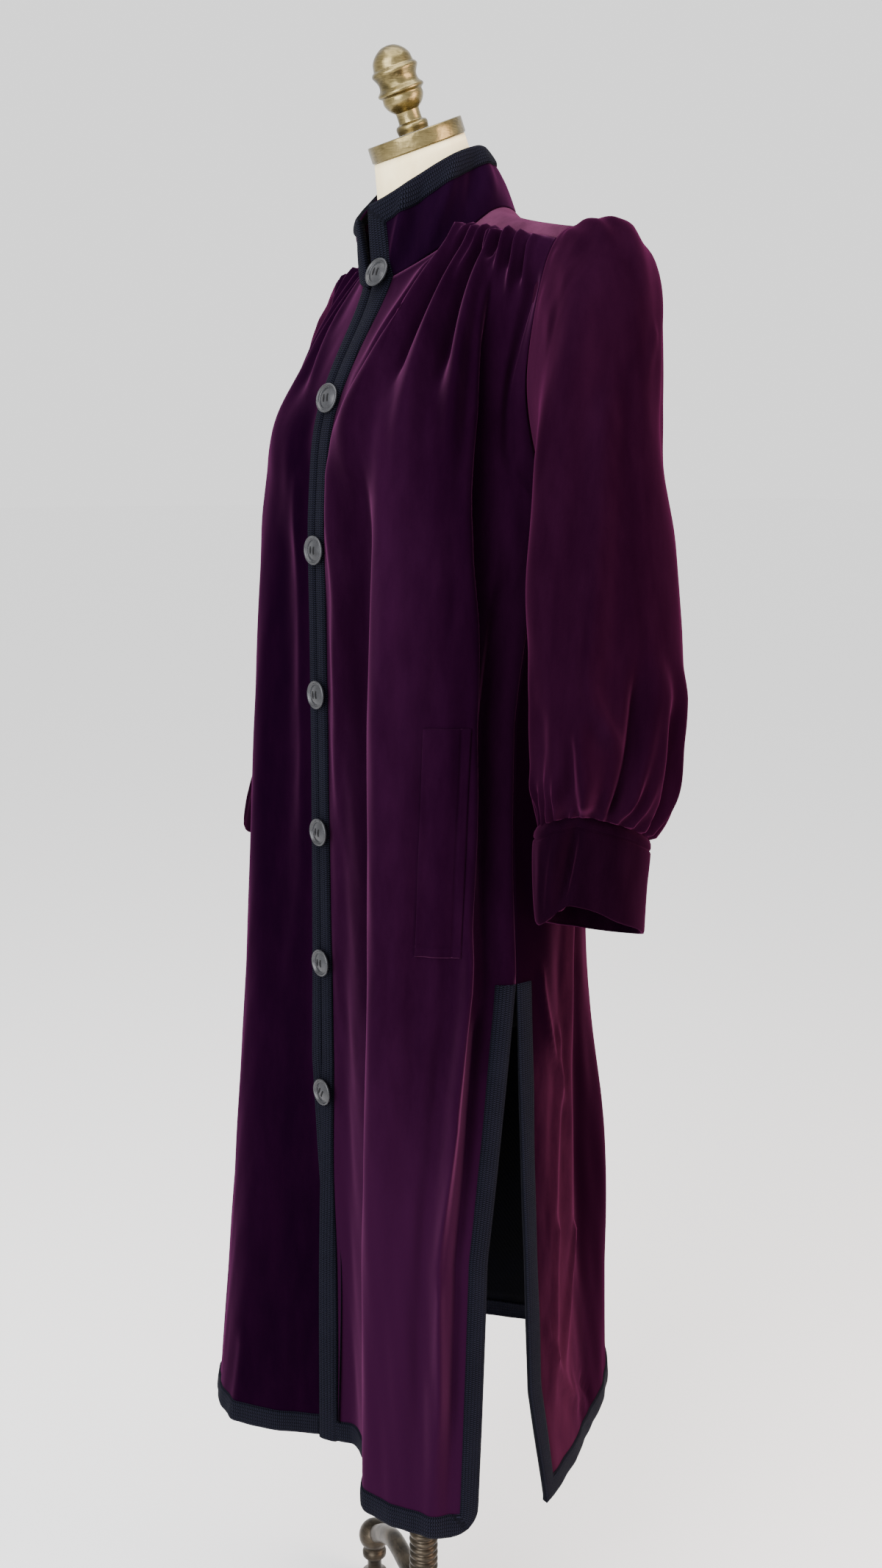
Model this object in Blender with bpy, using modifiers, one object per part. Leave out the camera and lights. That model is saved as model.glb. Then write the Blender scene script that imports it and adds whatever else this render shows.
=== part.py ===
"""A velvet coat on a dress form: two fronts and a back gathered into a yoke, a stand collar, full
sleeves with cuffs, side slits, braided edges and seven buttons. The form has a linen neck, a brass
cap and finial, and a post on three legs. Metres, +Z up; the coat faces -Y and its left is +X."""

import math

import bmesh
import bpy
import numpy as np

# Heights above the floor
HEM = 0.370
SLIT_TOP = 0.918
WELT_BOTTOM = 0.950
WELT_TOP = 1.163
UNDERARM = 1.362

# Cloth and seams
VELVET = 0.0020
DOUBLED_VELVET = 0.0030
LINING = 0.0012
LINING_GAP = 0.0006
SEAM = 0.0003
ARMHOLE_SEAM = 0.0017
YOKE_SEAM = 0.0012

# Braid that binds the edges, and the pocket welts
BRAID_WIDTH = 0.024
BRAID = 0.0016
STRIP_WIDTH = 0.014
BRAID_JOIN = 0.1
WELT = 0.0022
WELT_COLUMNS = (14, 18)

# Half the slit between the fronts
FRONT_EDGE = 0.0007

# Reach of the coat from the post at bearings from centre front, in degrees, round to centre back
BEARINGS = np.array((0, 9, 18, 30, 44, 62, 85, 105, 125, 150, 180), float)
LEFT_HALF = (
    # height, front, strip, valley, bust, flute, flank, side, side_back, hollow, back_flute, back
    (0.370, 0.126, 0.117, 0.112, 0.150, 0.200, 0.229, 0.228, 0.203, 0.189, 0.203, 0.235),
    (0.650, 0.121, 0.116, 0.114, 0.146, 0.190, 0.212, 0.211, 0.189, 0.179, 0.198, 0.196),
    (0.918, 0.118, 0.116, 0.117, 0.143, 0.181, 0.196, 0.197, 0.186, 0.171, 0.167, 0.166),
    (1.163, 0.117, 0.117, 0.121, 0.141, 0.175, 0.187, 0.188, 0.181, 0.170, 0.165, 0.150),
    (1.362, 0.117, 0.118, 0.126, 0.146, 0.164, 0.177, 0.186, 0.184, 0.174, 0.156, 0.140),
)
RIGHT_HALF = (
    # height, front, strip, valley, bust, flute, flank, side, side_back, hollow, back_flute, back
    (0.370, 0.128, 0.146, 0.196, 0.229, 0.238, 0.234, 0.226, 0.203, 0.188, 0.196, 0.235),
    (0.650, 0.122, 0.134, 0.170, 0.204, 0.214, 0.214, 0.211, 0.192, 0.180, 0.188, 0.196),
    (0.918, 0.118, 0.124, 0.146, 0.181, 0.192, 0.197, 0.197, 0.186, 0.174, 0.173, 0.166),
    (1.163, 0.117, 0.120, 0.134, 0.166, 0.179, 0.187, 0.188, 0.181, 0.170, 0.165, 0.150),
    (1.362, 0.117, 0.119, 0.130, 0.150, 0.165, 0.177, 0.186, 0.184, 0.174, 0.156, 0.140),
)
SIDE_EDGES = (
    # height, bearing of the front's edge, bearing of the back's edge
    (0.370, 71.8, 93.3),
    (0.500, 73.6, 87.4),
    (0.650, 75.6, 86.8),
    (0.918, 85.4, 85.4),
    (1.163, 90.0, 90.0),
    (1.362, 100.0, 100.0),
)
BRAID_TOP = HEM + BRAID_WIDTH
SKIRT_HEIGHTS = (HEM, BRAID_TOP, 0.50, 0.63, 0.77, SLIT_TOP, WELT_BOTTOM, 1.05, WELT_TOP, 1.262, UNDERARM)
CHEST_SHARES = (0.20, 0.40, 0.60, 0.77, 0.89, 0.96, 1.0)
SLIT_CELLS = SKIRT_HEIGHTS.index(SLIT_TOP)

# Gathers under the yoke: depth, and how it fades down the chest
FRONT_GATHERS = 8
BACK_GATHERS = 9
GATHER_DEPTH = 0.0032
GATHER_MEAN = 0.75
GATHER_CHANGE = 2.4
GATHER_FADE = (
    # share of the way up, strength
    (0.0, 0.0),
    (0.40, 0.12),
    (0.60, 0.40),
    (0.77, 0.75),
    (0.89, 1.0),
    (0.96, 1.0),
    (1.0, 0.0),
)
NECK_COLUMNS = 6
NECK_SHARE = 0.33
ARMHOLE_COLUMNS = 9
ROUNDED_CORNER = 0.4
FRONT_LEAN = (0.0, 0.55, 0.44)
NECK_LEAN = (0.0, 0.22, 0.75)
NECK_UPRIGHT = 1.5
NECK_REACH = 8
BACK_LEAN = (0.0, -0.25, 0.60)

# Neckline, a ring about the form's neck, by bearing from centre front
NECK_HALF_WIDTH = 0.078
NECK_MIDDLE = 0.0185
NECK_FRONT = 0.072
NECK_BACK = 0.076
NECK_HEIGHTS = ((0, 1.559), (40, 1.579), (82, 1.612), (100, 1.628), (140, 1.634), (180, 1.640))
YOKE_BEARING = 82
YOKE_RIDGE = 100
YOKE_BACK_BEARING = 122
YOKE_BEARINGS = (YOKE_BEARING, 91, YOKE_RIDGE, 111, YOKE_BACK_BEARING, 135, 150, 165, 180)
BACK_SEAM_MIDDLE = (0.0, 0.128, 1.546)
BACK_BULGE = 0.006
BULGE_DIRECTION = np.array((0.0, 1.0, 0.3))
YOKE_SHARES = (0.008, 0.3, 0.65, 0.985)

# Stand collar's top edge
COLLAR_HALF_WIDTH = 0.0635
COLLAR_MIDDLE = 0.001
COLLAR_FRONT = 0.060
COLLAR_BACK = 0.057
COLLAR_HEIGHT = 1.6632
COLLAR_RISE = 0.0278
COLLAR_ARCH = 0.0150
COLLAR_SAG = 0.0170
SAG_BEARINGS = (235, 300, 320, 360)
SAG_EASING = 0.5
COLLAR_OPENING = 3.0
COLLAR_STRIP = 23.0
COLLAR_COLUMNS = 20
COLLAR_SHARES = (0.0, 0.06, 0.36, 0.66, 1.0)

# Left armhole from the shoulder point by the front and the underarm to the back. The underarm is the
# side seam's top.
ARMHOLE = (
    # x, y, z
    (0.203, 0.044, 1.596),
    (0.195, 0.012, 1.578),
    (0.171, 0.006, 1.480),
    (0.175, 0.014, 1.405),
    None,
    (0.170, 0.078, 1.400),
    (0.166, 0.100, 1.470),
    (0.185, 0.096, 1.540),
)
FRONT_CORNER = 0.099
BACK_CORNER = 0.875
UNDERARM_POINT = 0.5

# Sleeves: the outer and inner ends of each ring, half its width front to back, and its middle on each side
SLEEVE_RINGS = (
    # outer_x, outer_z, inner_x, inner_z, half_width, left_y, right_y
    (0.240, 1.602, 0.196, 1.352, 0.060, 0.048, 0.062),
    (0.274, 1.577, 0.199, 1.335, 0.063, 0.043, 0.066),
    (0.287, 1.530, 0.200, 1.310, 0.065, 0.040, 0.064),
    (0.290, 1.460, 0.199, 1.275, 0.067, 0.039, 0.060),
    (0.297, 1.360, 0.198, 1.235, 0.073, 0.039, 0.052),
    (0.305, 1.260, 0.198, 1.185, 0.079, 0.039, 0.046),
    (0.309, 1.190, 0.198, 1.150, 0.083, 0.038, 0.034),
    (0.307, 1.135, 0.200, 1.118, 0.079, 0.037, 0.014),
    (0.297, 1.098, 0.206, 1.094, 0.068, 0.035, -0.004),
    (0.283, 1.076, 0.212, 1.076, 0.057, 0.033, -0.014),
)
SLEEVE_STATIONS = (0, 0.35, 1, 1.9, 3, 4.2, 5.4, 6.5, 7.5, 8.3, 9.1, 9.6, 10)
SLEEVE_GATHERS = 12
SLEEVE_HEAD_DEPTH = 0.0036
SLEEVE_CUFF_DEPTH = 0.0050
SLEEVE_HEAD_BEARING = 105
SLEEVE_HEAD_SOFTNESS = 30
SLEEVE_HEAD_FADE = ((0, 0.0), (0.35, 1.0), (1, 0.9), (2.4, 0.3), (3.3, 0.0), (10, 0.0))
SLEEVE_CUFF_FADE = ((0, 0.0), (6.2, 0.0), (7.2, 0.3), (8.2, 0.8), (9, 1.0), (9.6, 0.7), (10, 0.0))
CUFF_RINGS = (
    # z, outer_x, inner_x, half_width
    (1.0754, 0.283, 0.212, 0.057),
    (1.0300, 0.281, 0.212, 0.056),
    (0.9850, 0.279, 0.212, 0.054),
)

# Buttons on the front edges
BUTTON_RADIUS = 0.014
BUTTONS = (
    # x, height, distance of the shank's foot from the front's edge, lean upwards, turn to the left
    (0.0210, 1.571, 0.0040, 20, 20),
    (0.0085, 1.457, 0.0024, 12, 14),
    (0.0085, 1.317, 0.0030, 0, 14),
    (0.0085, 1.178, 0.0029, 0, 14),
    (0.0085, 1.041, 0.0028, 0, 14),
    (0.0085, 0.906, 0.0026, 0, 14),
    (0.0085, 0.768, 0.0025, 0, 14),
)
SHANK_RADIUS = 0.0036
BUTTON_PROFILE = (
    # radius, height above the shank's foot
    (0.0, 0.0080),
    (0.0062, 0.0077),
    (0.0095, 0.0068),
    (0.0125, 0.0082),
    (BUTTON_RADIUS, 0.0068),
    (0.0132, 0.0052),
    (0.0044, 0.0046),
    (SHANK_RADIUS, 0.0),
    (0.0, 0.0),
)
BUTTON_STEPS = 12

# Dress form: tilted rings from the hips to the neck
FORM_RINGS = (
    # height at the sides, drop at the front, drop at the back, half_width, front, back, middle
    (0.850, 0.000, 0.000, 0.140, 0.090, 0.105, 0.010),
    (0.970, 0.000, 0.000, 0.150, 0.096, 0.112, 0.010),
    (1.150, 0.000, 0.000, 0.118, 0.080, 0.095, 0.012),
    (1.330, 0.000, 0.000, 0.140, 0.105, 0.095, 0.012),
    (1.440, 0.010, 0.000, 0.152, 0.090, 0.090, 0.016),
    (1.510, 0.020, 0.000, 0.160, 0.075, 0.082, 0.024),
    (1.560, 0.030, 0.010, 0.164, 0.058, 0.066, 0.032),
    (1.593, 0.035, 0.020, 0.158, 0.048, 0.050, 0.036),
    (1.6152, 0.038, 0.018, 0.115, 0.044, 0.048, 0.036),
    (1.616, 0.042, 0.004, 0.074, 0.048, 0.048, 0.026),
    (1.628, 0.040, -0.010, 0.058, 0.050, 0.050, 0.018),
)
FORM_SIDES = 24
NECK_TILT = 22
NECK_CAP_PLACE = (0.0, -0.001, 1.692)
NECK_RADIUS = 0.0452
NECK_WAIST = 0.4
CAP_PROFILE = (
    # radius, height above the cap's underside
    (0.0, 0.0150),
    (0.0440, 0.0150),
    (0.0466, 0.0128),
    (0.0466, 0.0024),
    (0.0440, 0.0),
    (0.0, 0.0),
)
FINIAL_PROFILE = (
    # radius, height above the cap
    (0.0, 0.0790),
    (0.0085, 0.0780),
    (0.0155, 0.0738),
    (0.0195, 0.0655),
    (0.0185, 0.0595),
    (0.0160, 0.0562),
    (0.0195, 0.0525),
    (0.0200, 0.0478),
    (0.0160, 0.0420),
    (0.0128, 0.0400),
    (0.0162, 0.0362),
    (0.0168, 0.0305),
    (0.0125, 0.0225),
    (0.0072, 0.0195),
    (0.0065, 0.0090),
    (0.0110, 0.0045),
    (0.0115, 0.0),
    (0.0, 0.0),
)
TURNED_STEPS = 20

# Stand: a ringed post, a hub and three legs on turned feet
POST_RADIUS = 0.0130
POST_RING_RADIUS = 0.0165
POST_RINGS = 12
POST_RING_PITCH = 0.0088
POST_RING_ENDS = (0.7, 0.35)
HUB_TOP = 0.135
HUB_PROFILE = (
    # radius, height above the floor
    (0.0, HUB_TOP),
    (0.0210, HUB_TOP),
    (0.0300, 0.1260),
    (0.0300, 0.0990),
    (0.0180, 0.0900),
    (0.0, 0.0900),
)
LEG_BEARINGS = (168.7, 288.7, 48.7)
LEG_RADIUS = 0.0110
LEG_ROUTE = (
    # reach from the post, height
    (0.0308, 0.116),
    (0.0600, 0.117),
    (0.1050, 0.114),
    (0.1420, 0.096),
    (0.1680, 0.077),
)
LEG_POINTS = 9
FOOT_BALL = 0.0195
FOOT_PROFILE = (
    # radius, height above the floor, under the ball
    (0.0100, 0.0480),
    (0.0150, 0.0430),
    (0.0150, 0.0370),
    (0.0090, 0.0320),
    (0.0090, 0.0170),
    (0.0170, 0.0110),
    (0.0170, 0.0),
    (0.0, 0.0),
)
FOOT_BALL_ANGLES = (90, 60, 30, 0, -30, -55)
FOOT_STEPS = 14

# Linear colours, roughness and metallic value
MATERIALS = {
    "velvet": ((0.042, 0.006, 0.028, 1), 0.85, 0.0),
    "braid": ((0.010, 0.010, 0.013, 1), 0.80, 0.0),
    "lining": ((0.006, 0.006, 0.012, 1), 0.60, 0.0),
    "horn": ((0.060, 0.062, 0.068, 1), 0.35, 0.0),
    "linen": ((0.800, 0.735, 0.600, 1), 0.85, 0.0),
    "brass": ((0.340, 0.270, 0.130, 1), 0.35, 1.0),
    "bronze": ((0.075, 0.060, 0.050, 1), 0.45, 0.8),
}


def hermite(start, start_slope, end, end_slope, t):
    """The cubic from start to end with these slopes."""
    t2 = t * t
    t3 = t2 * t
    return (
        start * (2 * t3 - 3 * t2 + 1)
        + start_slope * (t3 - 2 * t2 + t)
        + end * (3 * t2 - 2 * t3)
        + end_slope * (t3 - t2)
    )


def curve(keys, values, at):
    """The smooth curve through a table: rising keys, and a value or row of values for each."""
    keys = np.asarray(keys, float)
    values = np.asarray(values, float)
    at = np.asarray(at, float)
    slopes = np.gradient(values, keys, axis=0)
    low = np.clip(np.searchsorted(keys, at) - 1, 0, len(keys) - 2)
    width = keys[low + 1] - keys[low]
    t = np.clip((at - keys[low]) / width, 0, 1)
    shape = t.shape + (1,) * (values.ndim - 1)
    t = t.reshape(shape)
    width = width.reshape(shape)
    return hermite(values[low], slopes[low] * width, values[low + 1], slopes[low + 1] * width, t)


def ease(t):
    """A smooth step from 0 to 1."""
    t = np.clip(t, 0, 1)
    return t * t * (3 - 2 * t)


def fade(table, at):
    rows = np.array(table)
    return np.interp(at, rows[:, 0], rows[:, 1])


def reach(height, bearing, half):
    """Distance from the post to the coat at these heights and bearings, on one half of it."""
    table = np.array(half)
    around = curve(table[:, 0], table[:, 1:], height)
    slopes = np.gradient(around, BEARINGS, axis=-1)
    slopes[..., 0] = 0
    slopes[..., -1] = 0
    low = np.clip(np.searchsorted(BEARINGS, bearing) - 1, 0, len(BEARINGS) - 2)
    width = BEARINGS[low + 1] - BEARINGS[low]
    t = (bearing - BEARINGS[low]) / width

    def at(array, index):
        return np.take_along_axis(array, index[..., None], -1)[..., 0]

    start_slope = at(slopes, low) * width
    end_slope = at(slopes, low + 1) * width
    return hermite(at(around, low), start_slope, at(around, low + 1), end_slope, t)


def around_post(distance, bearing, height):
    angle = np.radians(bearing)
    return np.stack([distance * np.sin(angle), -distance * np.cos(angle), height + 0 * angle], -1)


def side_edges(height):
    """Bearings of the front's and the back's side edges, which part below the top of the slit."""
    rows = np.array(SIDE_EDGES)
    return (np.interp(height, rows[:, 0], rows[:, column]) for column in (1, 2))


def neckline(bearing):
    angle = np.radians(bearing)
    depth = np.where(np.cos(angle) > 0, NECK_FRONT, NECK_BACK)
    rows = np.array(NECK_HEIGHTS)
    height = curve(rows[:, 0], rows[:, 1], np.abs(bearing))
    return np.stack([NECK_HALF_WIDTH * np.sin(angle), NECK_MIDDLE - depth * np.cos(angle), height], -1)


def armhole(turn):
    """The left armhole's seam, a closed curve: turn 0 is the shoulder point and 0.5 the underarm."""
    edge, _ = side_edges(UNDERARM)
    bearing = np.array([edge])
    height = np.array([UNDERARM])
    underarm = around_post(reach(height, bearing, LEFT_HALF), bearing, height)[0]
    points = np.array([underarm if point is None else point for point in ARMHOLE])
    count = len(points)
    wrapped = np.concatenate([points, points, points])
    return curve(np.arange(3 * count) / count - 1, wrapped, np.mod(turn, 1.0))


def yoke_seam(share):
    """The seam between a front and the yoke, from the neckline to the armhole."""
    share = np.asarray(share)[:, None]
    start = neckline(np.array([YOKE_BEARING]))
    end = armhole(np.array([FRONT_CORNER]))
    return start + (end - start) * share


def back_seam(share):
    """The seam between the back and the yoke, from the left armhole to centre back."""
    share = np.asarray(share)[:, None]
    start = armhole(np.array([BACK_CORNER]))
    straight = start + (np.array(BACK_SEAM_MIDDLE) - start) * share
    straight[:, 1] = start[:, 1] + (BACK_SEAM_MIDDLE[1] - start[:, 1]) * (1 - (1 - share[:, 0]) ** 2)
    return straight


def normals(grid):
    """Unit normals of a grid of points, by the hand of its columns and rows."""
    across = np.gradient(grid, axis=1)
    up = np.gradient(grid, axis=0)
    normal = np.cross(across, up)
    return normal / np.linalg.norm(normal, axis=-1, keepdims=True)


def gather_signs(count, first):
    """Ridges and valleys by turns over a row of columns, uneven in strength."""
    index = np.arange(count)
    strength = GATHER_MEAN + (1 - GATHER_MEAN) * np.sin(GATHER_CHANGE * index + first)
    return np.where(index % 2 == 0, -1.0, 1.0) * strength


def front_columns(height, half):
    """Bearings of a front's columns at each height: the braid's width lies between the outer pairs."""
    columns = NECK_COLUMNS + 2 * FRONT_GATHERS + 1
    centre = reach(height, 0 * height, half)
    first = np.degrees(FRONT_EDGE / centre)
    edge, _ = side_edges(height)
    side = reach(height, edge, half)
    last = edge - np.degrees(SEAM / side)
    inner = first + np.degrees(STRIP_WIDTH / centre)
    outer = last - np.degrees(BRAID_WIDTH / side)
    neck = np.linspace(0, NECK_SHARE, NECK_COLUMNS)
    rest = np.linspace(NECK_SHARE, 1, columns - 1 - NECK_COLUMNS)[1:]
    share = np.concatenate([neck, rest])
    middle = inner[:, None] + (outer - inner)[:, None] * share
    return np.concatenate([first[:, None], middle, last[:, None]], 1)


def front_skirt(half):
    heights = np.array(SKIRT_HEIGHTS)
    bearing = front_columns(heights, half)
    height = np.repeat(heights[:, None], bearing.shape[1], 1)
    grid = around_post(reach(height, bearing, half), bearing, height)
    grid[0, -1] += (grid[1, -2] - grid[0, -1]) * ROUNDED_CORNER
    return grid


def front_top():
    """A front's top edge: half the neckline, then the yoke's seam."""
    first = math.degrees(FRONT_EDGE / NECK_FRONT)
    strip = first + math.degrees(STRIP_WIDTH / NECK_FRONT)
    bearing = np.concatenate([[first], np.linspace(strip, YOKE_BEARING, NECK_COLUMNS)])
    seam = np.linspace(0, 1, 2 * FRONT_GATHERS + 1)[1:]
    return np.concatenate([neckline(bearing), yoke_seam(seam)])


def chest(start, top, end_direction, edge, stiffness=1.0):
    """Rows from the underarm up to a top edge: upright at first, longer so with stiffness, then leaning as
    end_direction says. The last column follows the armhole's edge."""
    share = np.array(CHEST_SHARES)[:, None, None]
    length = np.linalg.norm(top - start, axis=-1, keepdims=True)
    upright = np.array((0.0, 0.0, 1.0)) * length * stiffness
    leaning = np.array(end_direction) * length
    rows = hermite(start, upright, top, leaning, share)
    columns = rows.shape[1]
    pull = ease((np.arange(columns) - (columns - 1 - ARMHOLE_COLUMNS)) / ARMHOLE_COLUMNS)
    return rows + (edge - rows[:, -1])[:, None, :] * pull[None, :, None]


def front_grid(side):
    """Points of a front's outside, rows from the hem up and columns from centre front to the side."""
    half = LEFT_HALF if side > 0 else RIGHT_HALF
    skirt = front_skirt(half)
    turns = UNDERARM_POINT + (FRONT_CORNER - UNDERARM_POINT) * np.array(CHEST_SHARES)
    edge = armhole(turns)
    near_neck = 1 - ease(np.arange(skirt.shape[1])[:, None] / NECK_REACH)
    lean = FRONT_LEAN + np.subtract(NECK_LEAN, FRONT_LEAN) * near_neck
    upper = chest(skirt[-1], front_top(), lean, edge, 1 + (NECK_UPRIGHT - 1) * near_neck)
    grid = np.concatenate([skirt, upper])
    share = np.concatenate([np.zeros(len(skirt)), CHEST_SHARES])
    signs = np.zeros(grid.shape[1])
    signs[NECK_COLUMNS + 1 : -1] = gather_signs(2 * FRONT_GATHERS - 1, side)
    grid += normals(grid) * (GATHER_DEPTH * fade(GATHER_FADE, share)[:, None] * signs)[..., None]
    grid[..., 0] *= side
    return grid


def back_half(side):
    """Points of half the back, columns from the side to centre back."""
    half = LEFT_HALF if side > 0 else RIGHT_HALF
    heights = np.array(SKIRT_HEIGHTS)
    _, edge = side_edges(heights)
    distance = reach(heights, edge, half)
    first = edge + np.degrees(SEAM / distance)
    inner = first + np.degrees(BRAID_WIDTH / distance)
    share = np.linspace(0, 1, BACK_GATHERS + 1)
    bearing = np.concatenate([first[:, None], inner[:, None] + (180 - inner)[:, None] * share], 1)
    height = np.repeat(heights[:, None], bearing.shape[1], 1)
    skirt = around_post(reach(height, bearing, half), bearing, height)
    turns = UNDERARM_POINT + (BACK_CORNER - UNDERARM_POINT) * np.array(CHEST_SHARES)
    top = back_seam(np.linspace(0, 1, bearing.shape[1]))
    upper = chest(skirt[-1, ::-1], top[::-1], BACK_LEAN, armhole(turns))[:, ::-1]
    grid = np.concatenate([skirt, upper])
    grid[..., 0] *= side
    return grid


def back_grid():
    """Points of the back's outside, columns from its left side round to its right."""
    left = back_half(1)
    right = back_half(-1)
    grid = np.concatenate([left, right[:, -2::-1]], 1)
    share = np.concatenate([np.zeros(len(SKIRT_HEIGHTS)), CHEST_SHARES])
    signs = np.zeros(grid.shape[1])
    signs[1:-1] = gather_signs(grid.shape[1] - 2, 0.5)
    grid += normals(grid) * (GATHER_DEPTH * fade(GATHER_FADE, share)[:, None] * signs)[..., None]
    return grid


def yoke_grid():
    """Points of the yoke's outside, rows from the neckline out and columns from the left front round."""
    bearing = np.array(YOKE_BEARINGS, float)
    turn = np.linspace(FRONT_CORNER, BACK_CORNER - 1, 5)
    outer = np.concatenate([armhole(turn), back_seam(np.linspace(0, 1, 5))[1:]])
    inner = neckline(bearing)
    share = np.array(YOKE_SHARES)[:, None, None]
    half = inner + (outer - inner) * share
    behind = ease((bearing - YOKE_RIDGE) / (180 - YOKE_RIDGE))[None, :, None]
    bulge = BACK_BULGE * 4 * share * (1 - share) * behind
    half += bulge * BULGE_DIRECTION
    seam = half[:, 1] - half[:, 0]
    half[:, 0] += YOKE_SEAM * seam / np.linalg.norm(seam, axis=-1, keepdims=True)
    mirrored = half[:, -2::-1] * np.array((-1.0, 1.0, 1.0))
    return np.concatenate([half, mirrored], 1)


def collar_sag(bearing):
    """How far the collar's top edge hangs down on its right, most where it nears the front."""
    start, full, easing, end = SAG_BEARINGS
    eased = 1 - SAG_EASING * ease((bearing - easing) / (end - easing))
    return COLLAR_SAG * ease((bearing - start) / (full - start)) * eased


def collar_grid():
    """Points of the collar's outside, rows from the neckline up, columns from its left end round."""
    first = np.array((COLLAR_OPENING, COLLAR_STRIP))
    middle = np.linspace(COLLAR_STRIP, 360 - COLLAR_STRIP, COLLAR_COLUMNS)[1:-1]
    bearing = np.concatenate([first, middle, 360 - first[::-1]])
    angle = np.radians(bearing)
    base = neckline(np.where(bearing > 180, 360 - bearing, bearing))
    base[:, 0] = NECK_HALF_WIDTH * np.sin(angle)
    base[:, 2] += 2 * SEAM
    depth = np.where(np.cos(angle) > 0, COLLAR_FRONT, COLLAR_BACK)
    top = np.stack(
        [
            COLLAR_HALF_WIDTH * np.sin(angle),
            COLLAR_MIDDLE - depth * np.cos(angle),
            COLLAR_HEIGHT - COLLAR_RISE * np.cos(angle) + COLLAR_ARCH * np.sin(angle) ** 2 - collar_sag(bearing),
        ],
        -1,
    )
    share = np.array(COLLAR_SHARES)[:, None, None]
    return base + (top - base) * share


def sleeve_ring(row, turn, side):
    outer_x, outer_z, inner_x, inner_z, half_width, left_y, right_y = row
    middle_y = left_y if side > 0 else right_y
    angle = 2 * math.pi * turn
    x = (outer_x + inner_x) / 2 + (outer_x - inner_x) / 2 * np.cos(angle)
    z = (outer_z + inner_z) / 2 + (outer_z - inner_z) / 2 * np.cos(angle)
    return np.stack([x, middle_y - half_width * np.sin(angle), z], -1)


def sleeve_grid(side):
    """Points of a sleeve's outside: rings from the armhole to the cuff, columns from the top by the front."""
    turn = np.linspace(0, 1, 2 * SLEEVE_GATHERS + 1)
    head = armhole(turn) + np.array((ARMHOLE_SEAM, 0, 0))
    rings = np.stack([head] + [sleeve_ring(row, turn, side) for row in SLEEVE_RINGS])
    stations = np.array(SLEEVE_STATIONS)
    grid = curve(np.arange(len(rings)), rings, stations)
    signs = np.where(np.arange(len(turn)) % 2 == 0, 1.0, -1.0)
    bearing = 180 - np.abs(180 - 360 * turn)
    on_head = ease((SLEEVE_HEAD_BEARING - bearing) / SLEEVE_HEAD_SOFTNESS)
    head_depth = SLEEVE_HEAD_DEPTH * fade(SLEEVE_HEAD_FADE, stations)[:, None] * on_head
    cuff_depth = SLEEVE_CUFF_DEPTH * fade(SLEEVE_CUFF_FADE, stations)[:, None]
    outward = grid - grid.mean(axis=1, keepdims=True)
    outward /= np.linalg.norm(outward, axis=-1, keepdims=True)
    grid += outward * ((head_depth + cuff_depth) * signs)[..., None]
    grid[..., 0] *= side
    return grid[::-1]


def cuff_grid(side):
    """Points of a cuff's outside, rings from its edge up."""
    turn = np.linspace(0, 1, 2 * SLEEVE_GATHERS + 1)
    left_y, right_y = SLEEVE_RINGS[-1][-2:]
    rings = [
        sleeve_ring((outer_x, z, inner_x, z, half_width, left_y, right_y), turn, side)
        for z, outer_x, inner_x, half_width in CUFF_RINGS
    ]
    grid = np.stack(rings)
    grid[..., 0] *= side
    return grid[::-1]


def material(kind):
    colour, roughness, metallic = MATERIALS[kind]
    made = bpy.data.materials.get(kind) or bpy.data.materials.new(kind)
    made.use_nodes = True
    made.diffuse_color = colour
    shader = made.node_tree.nodes["Principled BSDF"]
    shader.inputs["Base Color"].default_value = colour
    shader.inputs["Roughness"].default_value = roughness
    shader.inputs["Metallic"].default_value = metallic
    return made


def add_object(name, mesh, kind):
    built = bpy.data.meshes.new(name)
    mesh.to_mesh(built)
    mesh.free()
    built.shade_smooth()
    built.materials.append(material(kind))
    made = bpy.data.objects.new(name, built)
    coat.objects.link(made)
    made.parent = root
    return made


def surface(grid, keep=None, turned=False):
    """An open sheet on a grid of points; keep masks its cells and turned flips it. Equal points join."""
    rows, columns = grid.shape[:2]
    mesh = bmesh.new()
    bmesh.ops.create_grid(mesh, x_segments=columns - 1, y_segments=rows - 1, size=1)
    half = np.array(((columns - 1) / 2, (rows - 1) / 2))
    if keep is not None:
        dropped = []
        for face in mesh.faces:
            column, row = ((np.array(face.calc_center_median()[:2]) + 1) * half).astype(int)
            if not keep[row, column]:
                dropped.append(face)
        bmesh.ops.delete(mesh, geom=dropped, context="FACES")
    for vertex in mesh.verts:
        column, row = np.rint((np.array(vertex.co[:2]) + 1) * half).astype(int)
        vertex.co = grid[row, column]
    bmesh.ops.remove_doubles(mesh, verts=mesh.verts, dist=1e-6)
    if turned:
        bmesh.ops.reverse_faces(mesh, faces=mesh.faces)
    return mesh


def wall(name, grid, thickness, kind, keep=None, turned=False, outward=False):
    """A sheet with its thickness inwards, or outwards for what lies on another sheet."""
    made = add_object(name, surface(grid, keep, turned), kind)
    solid = made.modifiers.new("Wall", "SOLIDIFY")
    solid.thickness = thickness
    solid.offset = 1 if outward else -1
    return made


def solid_loft(name, grid, kind):
    """A closed body on rings of points, with flat ends."""
    mesh = surface(grid)
    bmesh.ops.holes_fill(mesh, edges=[edge for edge in mesh.edges if edge.is_boundary], sides=0)
    bmesh.ops.recalc_face_normals(mesh, faces=mesh.faces)
    return add_object(name, mesh, kind)


def turned(name, profile, steps, kind):
    """A turned piece: its profile of radii and heights, from the top down, about its own Z axis."""
    mesh = bmesh.new()
    points = [mesh.verts.new((radius, 0, height)) for radius, height in profile]
    for above, below in zip(points, points[1:]):
        mesh.edges.new((above, below))
    made = add_object(name, mesh, kind)
    screw = made.modifiers.new("Turn", "SCREW")
    screw.steps = steps
    screw.render_steps = steps
    screw.use_merge_vertices = True
    screw.merge_threshold = 1e-5
    return made


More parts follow.
